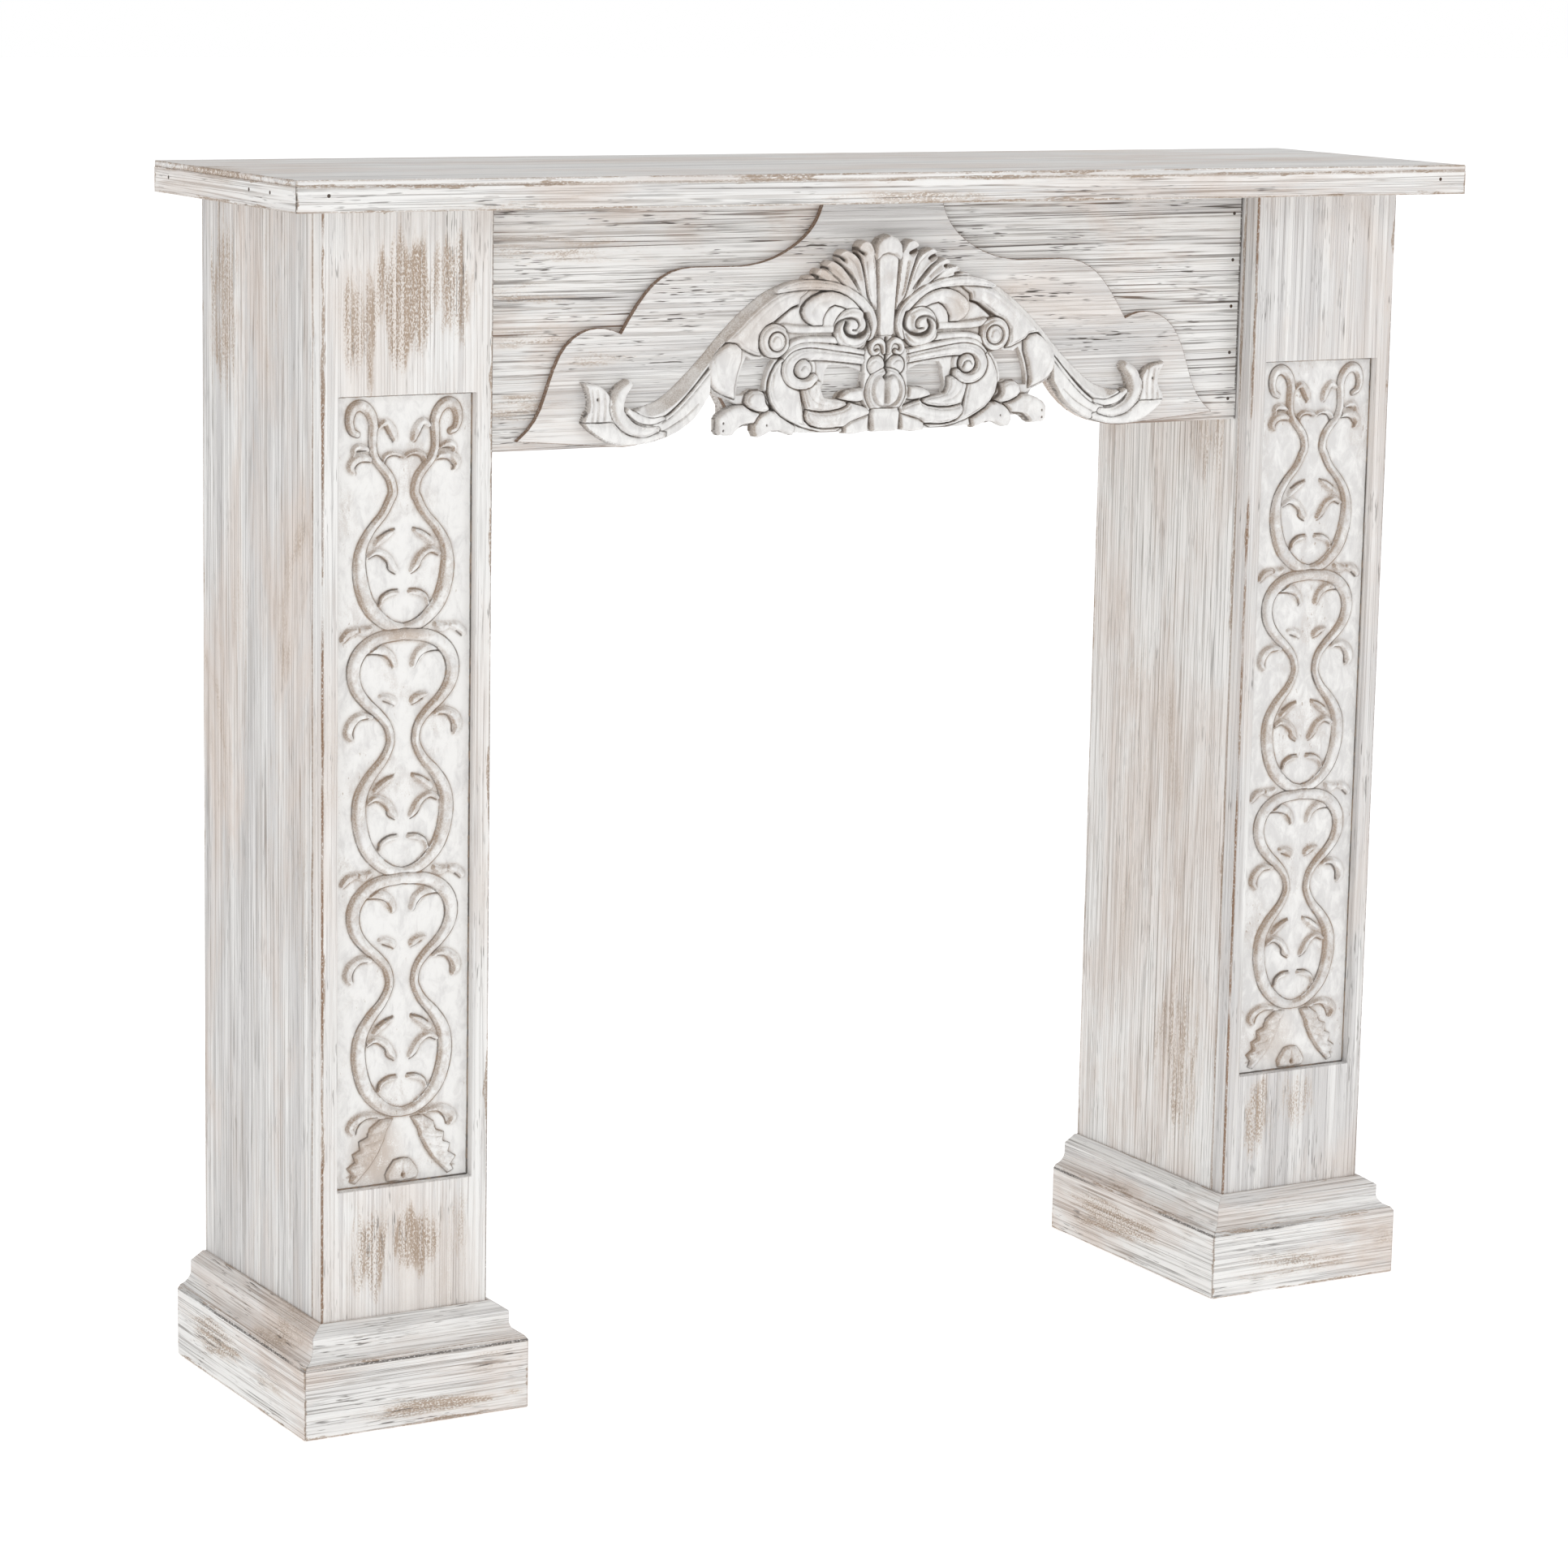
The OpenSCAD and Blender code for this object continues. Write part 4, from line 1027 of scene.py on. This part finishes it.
def carving_relief():
    """The ornament over the middle of the frieze."""
    r = Relief((0, 779), (172.5, 950), CARVING_STEP)
    r.plate(CARVING_GROUND, GROUND, GROUND - 0.5, 1.0, moat=0, ink=0)
    carve_lower_leaves(r)
    carve_shell(r)
    carve_upper_volutes(r)
    carve_masks(r)
    for window in (SIDE_WINDOW, EYE_WINDOW):
        r.open_window(window)
    return r.mirrored()


# ---- leg panels ----

PANEL_STEP = 0.75
PANEL_RECESS = 8.0
LYRE_PITCH = 196.5
LYRE_FOOT = 55.0
CARVED = 3.8
# How dark and how wide the painted shadow line round a leg panel is, in millimetres.
BORDER_SHADOW = 1.5
BORDER_WIDTH = 1.4

# Half of one lyre, measured from its foot: its ribbon, and the leaves that grow from it.
BELLY = [(0, 4), (10, 6), (20, 12), (30, 23), (36, 38), (38.3, 55), (36, 70), (28.5, 83), (18, 95),
    (12, 106)]
BELLY_WIDTHS = [3.5, 4.5, 5.2, 5.8, 6.0, 6.0, 5.6, 4.8, 4.0, 3.4]
SHOULDER = [(11, 114), (14, 124), (22, 133.5), (32, 142.5), (40, 153), (43.3, 165), (41, 177), (33, 187),
    (20, 193.5), (0, 196)]
SHOULDER_WIDTHS = [3.2, 3.4, 3.8, 4.4, 5.2, 5.6, 5.6, 5.2, 4.6, 4.6]
HORN = [(9.5, 112), (11.5, 122), (17, 130), (24, 138), (27, 147), (27, 158), (26.5, 167), (30, 176),
    (37, 181), (44, 178.5), (47, 170), (45, 161.5), (40, 158.5)]
HORN_WIDTHS = [3.2, 3.4, 3.6, 3.6, 3.4, 3.2, 3.2, 3.6, 4.0, 4.2, 4.0, 3.2, 2.2]
# Leaves: the way, its half widths, and the dark line along it.
BELLY_LEAVES = [
    ([(32, 36), (28, 26), (20, 16), (11, 10)], [1.5, 3.4, 3.4, 2.0], [(33, 33), (28, 22), (19, 13.5)]),
    ([(24, 72), (16, 78), (9, 82)], [2.6, 3.4, 1.8], [(23, 76.5), (16, 81), (8, 83.5)]),
    ([(31, 62), (24, 65.5), (16, 62), (11, 55), (7, 50)], [1.5, 2.6, 3.4, 4.2, 2.4], [(30, 60.5),
     (23, 63), (16, 58), (13, 51), (7, 47)]),
    ([(21, 23), (19, 28.5), (13, 32), (5, 33)], [1.5, 2.2, 2.4, 1.5], [(22, 24), (20, 30), (13, 34.3),
     (5, 35)]),
]
SHOULDER_LEAVES = [
    ([(36, 184), (28, 184.5), (19, 183.5), (12, 178), (9, 171.5)], [1.5, 3.2, 4.0, 4.5, 3.4], [(35, 180),
     (27, 181), (18, 179.5), (13, 175.5), (10, 169)]),
    ([(20, 147), (14, 145.5), (9.5, 142.5)], [1.5, 3.0, 4.2], [(17, 143), (12, 141), (8, 139)]),
    ([(28, 131), (37, 132), (45, 127), (48, 119), (45, 114)], [2.0, 3.2, 4.4, 4.4, 2.4], [(31, 130),
     (38, 128.5), (42.5, 122), (43, 115)]),
    ([(28, 202), (33, 199.5), (38, 200.5)], [2.4, 3.6, 2.8], []),
    ([(41, 201), (47, 199), (52, 194.5)], [2.2, 3.8, 3.2], [(46, 196), (51, 191.5)]),
]
HORN_LEAVES = [
    ([(22, 164), (16, 167), (11, 161), (8.5, 154)], [1.6, 3.0, 4.2, 2.8], [(17, 164), (13, 157),
     (9.5, 151.5)]),
    ([(30, 146), (38, 149), (43, 147), (43.5, 143)], [1.5, 2.2, 2.5, 1.6], [(33, 145.5), (40, 145)]),
    ([(25, 138), (34, 140), (42, 138.5), (46, 133), (43, 129)], [1.8, 2.6, 3.4, 3.8, 2.4], [(29, 136.5),
     (37, 136.5), (42, 132), (41.5, 128)]),
    ([(19, 134), (17, 140), (11, 143), (4, 142), (0, 139.5)], [1.2, 1.9, 2.0, 1.7, 1.4], [(18, 131),
     (14, 139), (8, 141), (3, 139.5)]),
]
FOOT_LEAF = [(8, 54), (14, 44), (16, 37), (21, 27), (28, 17), (31, 14), (36, 9), (41, 4), (46, 6),
    (43.5, 11), (48, 17), (41, 21.5), (43, 28), (36.5, 31), (37.5, 38), (30, 41), (28, 48), (18, 55)]


def carve_lyre(r, foot, crown):
    """One lyre, from its round belly up to its shoulder, or to two curled horns at the top."""

    def up(points):
        return [(x, z + foot) for x, z in points]

    def leaves(group):
        for way, widths, line in group:
            r.stroke(up(way), widths, CARVED * 0.9, 0.0, crowned, 0, 0, 0.4)
            if line:
                r.groove(smooth(up(line)), 0.8, 1.0, 0.9)

    leaves(BELLY_LEAVES)
    leaves(HORN_LEAVES if crown else SHOULDER_LEAVES)
    rest, widths = (HORN, HORN_WIDTHS) if crown else (SHOULDER, SHOULDER_WIDTHS)
    r.stroke(up(BELLY + rest), BELLY_WIDTHS + widths, CARVED, 0.0, crowned, 0, 0, 0.85)


def carve_panel_foot(r):
    """Feathered leaves from the lowest lyre to the panel's corners, and a small leaf between them."""
    r.stroke([(16, 56), (30, 58.5), (40, 56), (46, 50), (43, 45)], [1.4, 2.6, 3.8, 4.0, 2.2], 3.4, 0.0,
        crowned, 0, 0, 0.4)
    r.groove([(22, 56.5), (32, 56), (38, 50), (40, 44.5)], 0.8, 1.0, 0.9)
    r.plate(FOOT_LEAF, CARVED, 0.0, 4.0, 0, 0, 0.8)
    for k in range(5):
        start = np.array((13 + 5.5 * k, 47 - 8.5 * k))
        r.groove([start, start + (8, -2.5), start + (17 - k, -3.5)], 0.7, 1.1, 0.35)
    r.plate([(-1, 2), (13, 3), (14.5, 8), (12, 13), (7, 19.5), (2, 20.5), (-1, 20.5)], CARVED, 0.0, 3.5,
        0, 0, 0.8)
    r.groove([(0, 6.5), (0, 7.5)], 1.6, 2.0, 1.0)


def panel_relief(width, height):
    """A leg panel, measured from the middle of its lower edge."""
    r = Relief((0, 0), (width / 2, height), PANEL_STEP)
    r.inside[:] = FAR
    carve_panel_foot(r)
    for k in (2, 1, 0):
        carve_lyre(r, LYRE_FOOT + k * LYRE_PITCH, crown=k == 2)
    # A painted shadow line round the panel's edges, where it sits in the window's gap.
    border = np.minimum(width / 2 - r.x, np.minimum(r.z, height - r.z))
    r.ink = np.maximum(r.ink, BORDER_SHADOW * np.exp(-((border / BORDER_WIDTH) ** 2)))
    return r.mirrored()


# ---- carved pieces ----


def add_carved(name, relief, origin, back, paint):
    piece = relief_piece(name + "_relief", relief, origin, back)
    coat(piece, paint)
    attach(piece, "root")
    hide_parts(name)


def add_carvings():
    apron_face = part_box("frieze_apron")[0].y
    paint = carved_paint("carving_paint", 40, 0.3, WORN_CARVING, grey=0.05)
    add_carved("central_carving", carving_relief(), (0, apron_face, 0), 0.0, paint)
    scroll = scroll_relief()
    origin = (0, apron_face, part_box("frieze_board")[0].z)
    for side, sign in SIDES:
        one = scroll if sign > 0 else scroll.mirrored(whole=False)
        paint = carved_paint(f"{side}_scroll_paint", 42 + sign, slope=(0.95, 0.7))
        add_carved(f"{side}_scroll", one, origin, 0.0, paint)
    for side, sign in SIDES:
        low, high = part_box(f"{side}_carved_panel")
        size = (high - low) / MM
        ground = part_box(f"{side}_front_board")[0].y + PANEL_RECESS * MM
        panel = panel_relief(size.x, size.z)
        centre = (low.x + high.x) / 2
        # The tint here is brown painted shade on the ribbons' left slopes, and painted shade and wash in
        # the hollows.
        paint = carved_paint(f"{side}_panel_paint", 45 + sign, 0.85, WORN_PANELS[side], (0.98, 0.78), EDGE,
                             0.02 + 0.06 * sign, 0.4)
        add_carved(f"{side}_carved_panel", panel, (centre, ground, low.z), (high.y - ground) / MM, paint)


# ---- stage ----


FLOOR_SIZE = 30.0
FLOOR_DROP = 0.5 * MM
FLOOR_GLOW = 0.45
WORLD_STRENGTH = 0.74
AIM = (0, 0, 0.5)
# Name, place, size (metres) and power of each lamp.
LAMPS = (("key", (2.4, -3.2, 2.9), (1.4, 1.4), 24), ("fill", (-3.4, -2.0, 1.6), (2.2, 2.2), 8))
# Yaw, pitch and roll in degrees, place in metres, and lens and sensor in millimetres.
CAMERA_ANGLES = (30.08, -10.55, 1.09)
CAMERA_PLACE = (-2.0195, -3.4197, 1.2101)
LENS, SENSOR = 108.2, 36.0


def add_floor():
    """A pale sheet just under the feet, which glows a little so that it stays as bright as the world."""
    mesh = bpy.data.meshes.new("studio_floor")
    size = FLOOR_SIZE
    corners = [(-size, -size, 0), (size, -size, 0), (size, size, 0), (-size, size, 0)]
    mesh.from_pydata(corners, [], [(0, 1, 2, 3)])
    floor = bpy.data.objects.new("studio_floor", mesh)
    floor.location.z = -FLOOR_DROP
    bpy.context.scene.collection.objects.link(floor)
    p = Paint("studio_paper")
    grainy = p.noise((40, 40, 40), 3, 0.6, 0, 1)
    colour = p.mix(grainy, (0.93, 0.93, 0.93, 1), (0.95, 0.95, 0.95, 1))
    p.shader.inputs["Emission Color"].default_value = (1, 1, 1, 1)
    p.shader.inputs["Emission Strength"].default_value = FLOOR_GLOW
    coat(floor, p.finish(colour, 0.9, grainy, 0.1))


def add_lamp(name, place, size, power):
    data = bpy.data.lights.new(name, "AREA")
    data.shape = "RECTANGLE"
    data.size, data.size_y = size
    data.energy = power
    lamp = bpy.data.objects.new(name, data)
    lamp.location = place
    direction = Vector(AIM) - Vector(place)
    lamp.rotation_euler = direction.to_track_quat("-Z", "Y").to_euler()
    bpy.context.scene.collection.objects.link(lamp)


def light_studio():
    """A soft white world, which the camera sees at full brightness, and two lamps."""
    world = bpy.data.worlds.new("studio")
    world.use_nodes = True
    tree = world.node_tree
    light = tree.nodes["Background"]
    light.inputs["Color"].default_value = (1, 1, 1, 1)
    light.inputs["Strength"].default_value = WORLD_STRENGTH
    seen = tree.nodes.new("ShaderNodeBackground")
    seen.inputs["Color"].default_value = (1, 1, 1, 1)
    pick = tree.nodes.new("ShaderNodeMixShader")
    tree.links.new(tree.nodes.new("ShaderNodeLightPath").outputs["Is Camera Ray"], pick.inputs[0])
    tree.links.new(light.outputs[0], pick.inputs[1])
    tree.links.new(seen.outputs[0], pick.inputs[2])
    tree.links.new(pick.outputs[0], tree.nodes["World Output"].inputs["Surface"])
    bpy.context.scene.world = world
    for lamp in LAMPS:
        add_lamp(*lamp)
    bpy.context.scene.view_settings.view_transform = "Standard"


def add_camera():
    """The photograph's view: a long lens from the front left, slightly above."""
    yaw, pitch, roll = (math.radians(a) for a in CAMERA_ANGLES)
    forward = Vector((math.sin(yaw) * math.cos(pitch), math.cos(yaw) * math.cos(pitch), math.sin(pitch)))
    right = Vector((math.cos(yaw), -math.sin(yaw), 0))
    up = right.cross(forward)
    tilted_right = right * math.cos(roll) + up * math.sin(roll)
    tilted_up = up * math.cos(roll) - right * math.sin(roll)
    data = bpy.data.cameras.new("camera")
    data.sensor_width = SENSOR
    data.lens = LENS
    camera = bpy.data.objects.new("camera", data)
    turn = Matrix((tilted_right, tilted_up, -forward)).transposed().to_4x4()
    camera.matrix_world = Matrix.Translation(CAMERA_PLACE) @ turn
    bpy.context.scene.collection.objects.link(camera)
    bpy.context.scene.camera = camera


paint_boards()
finish_hidden_parts()
add_carvings()
add_floor()
light_studio()
add_camera()
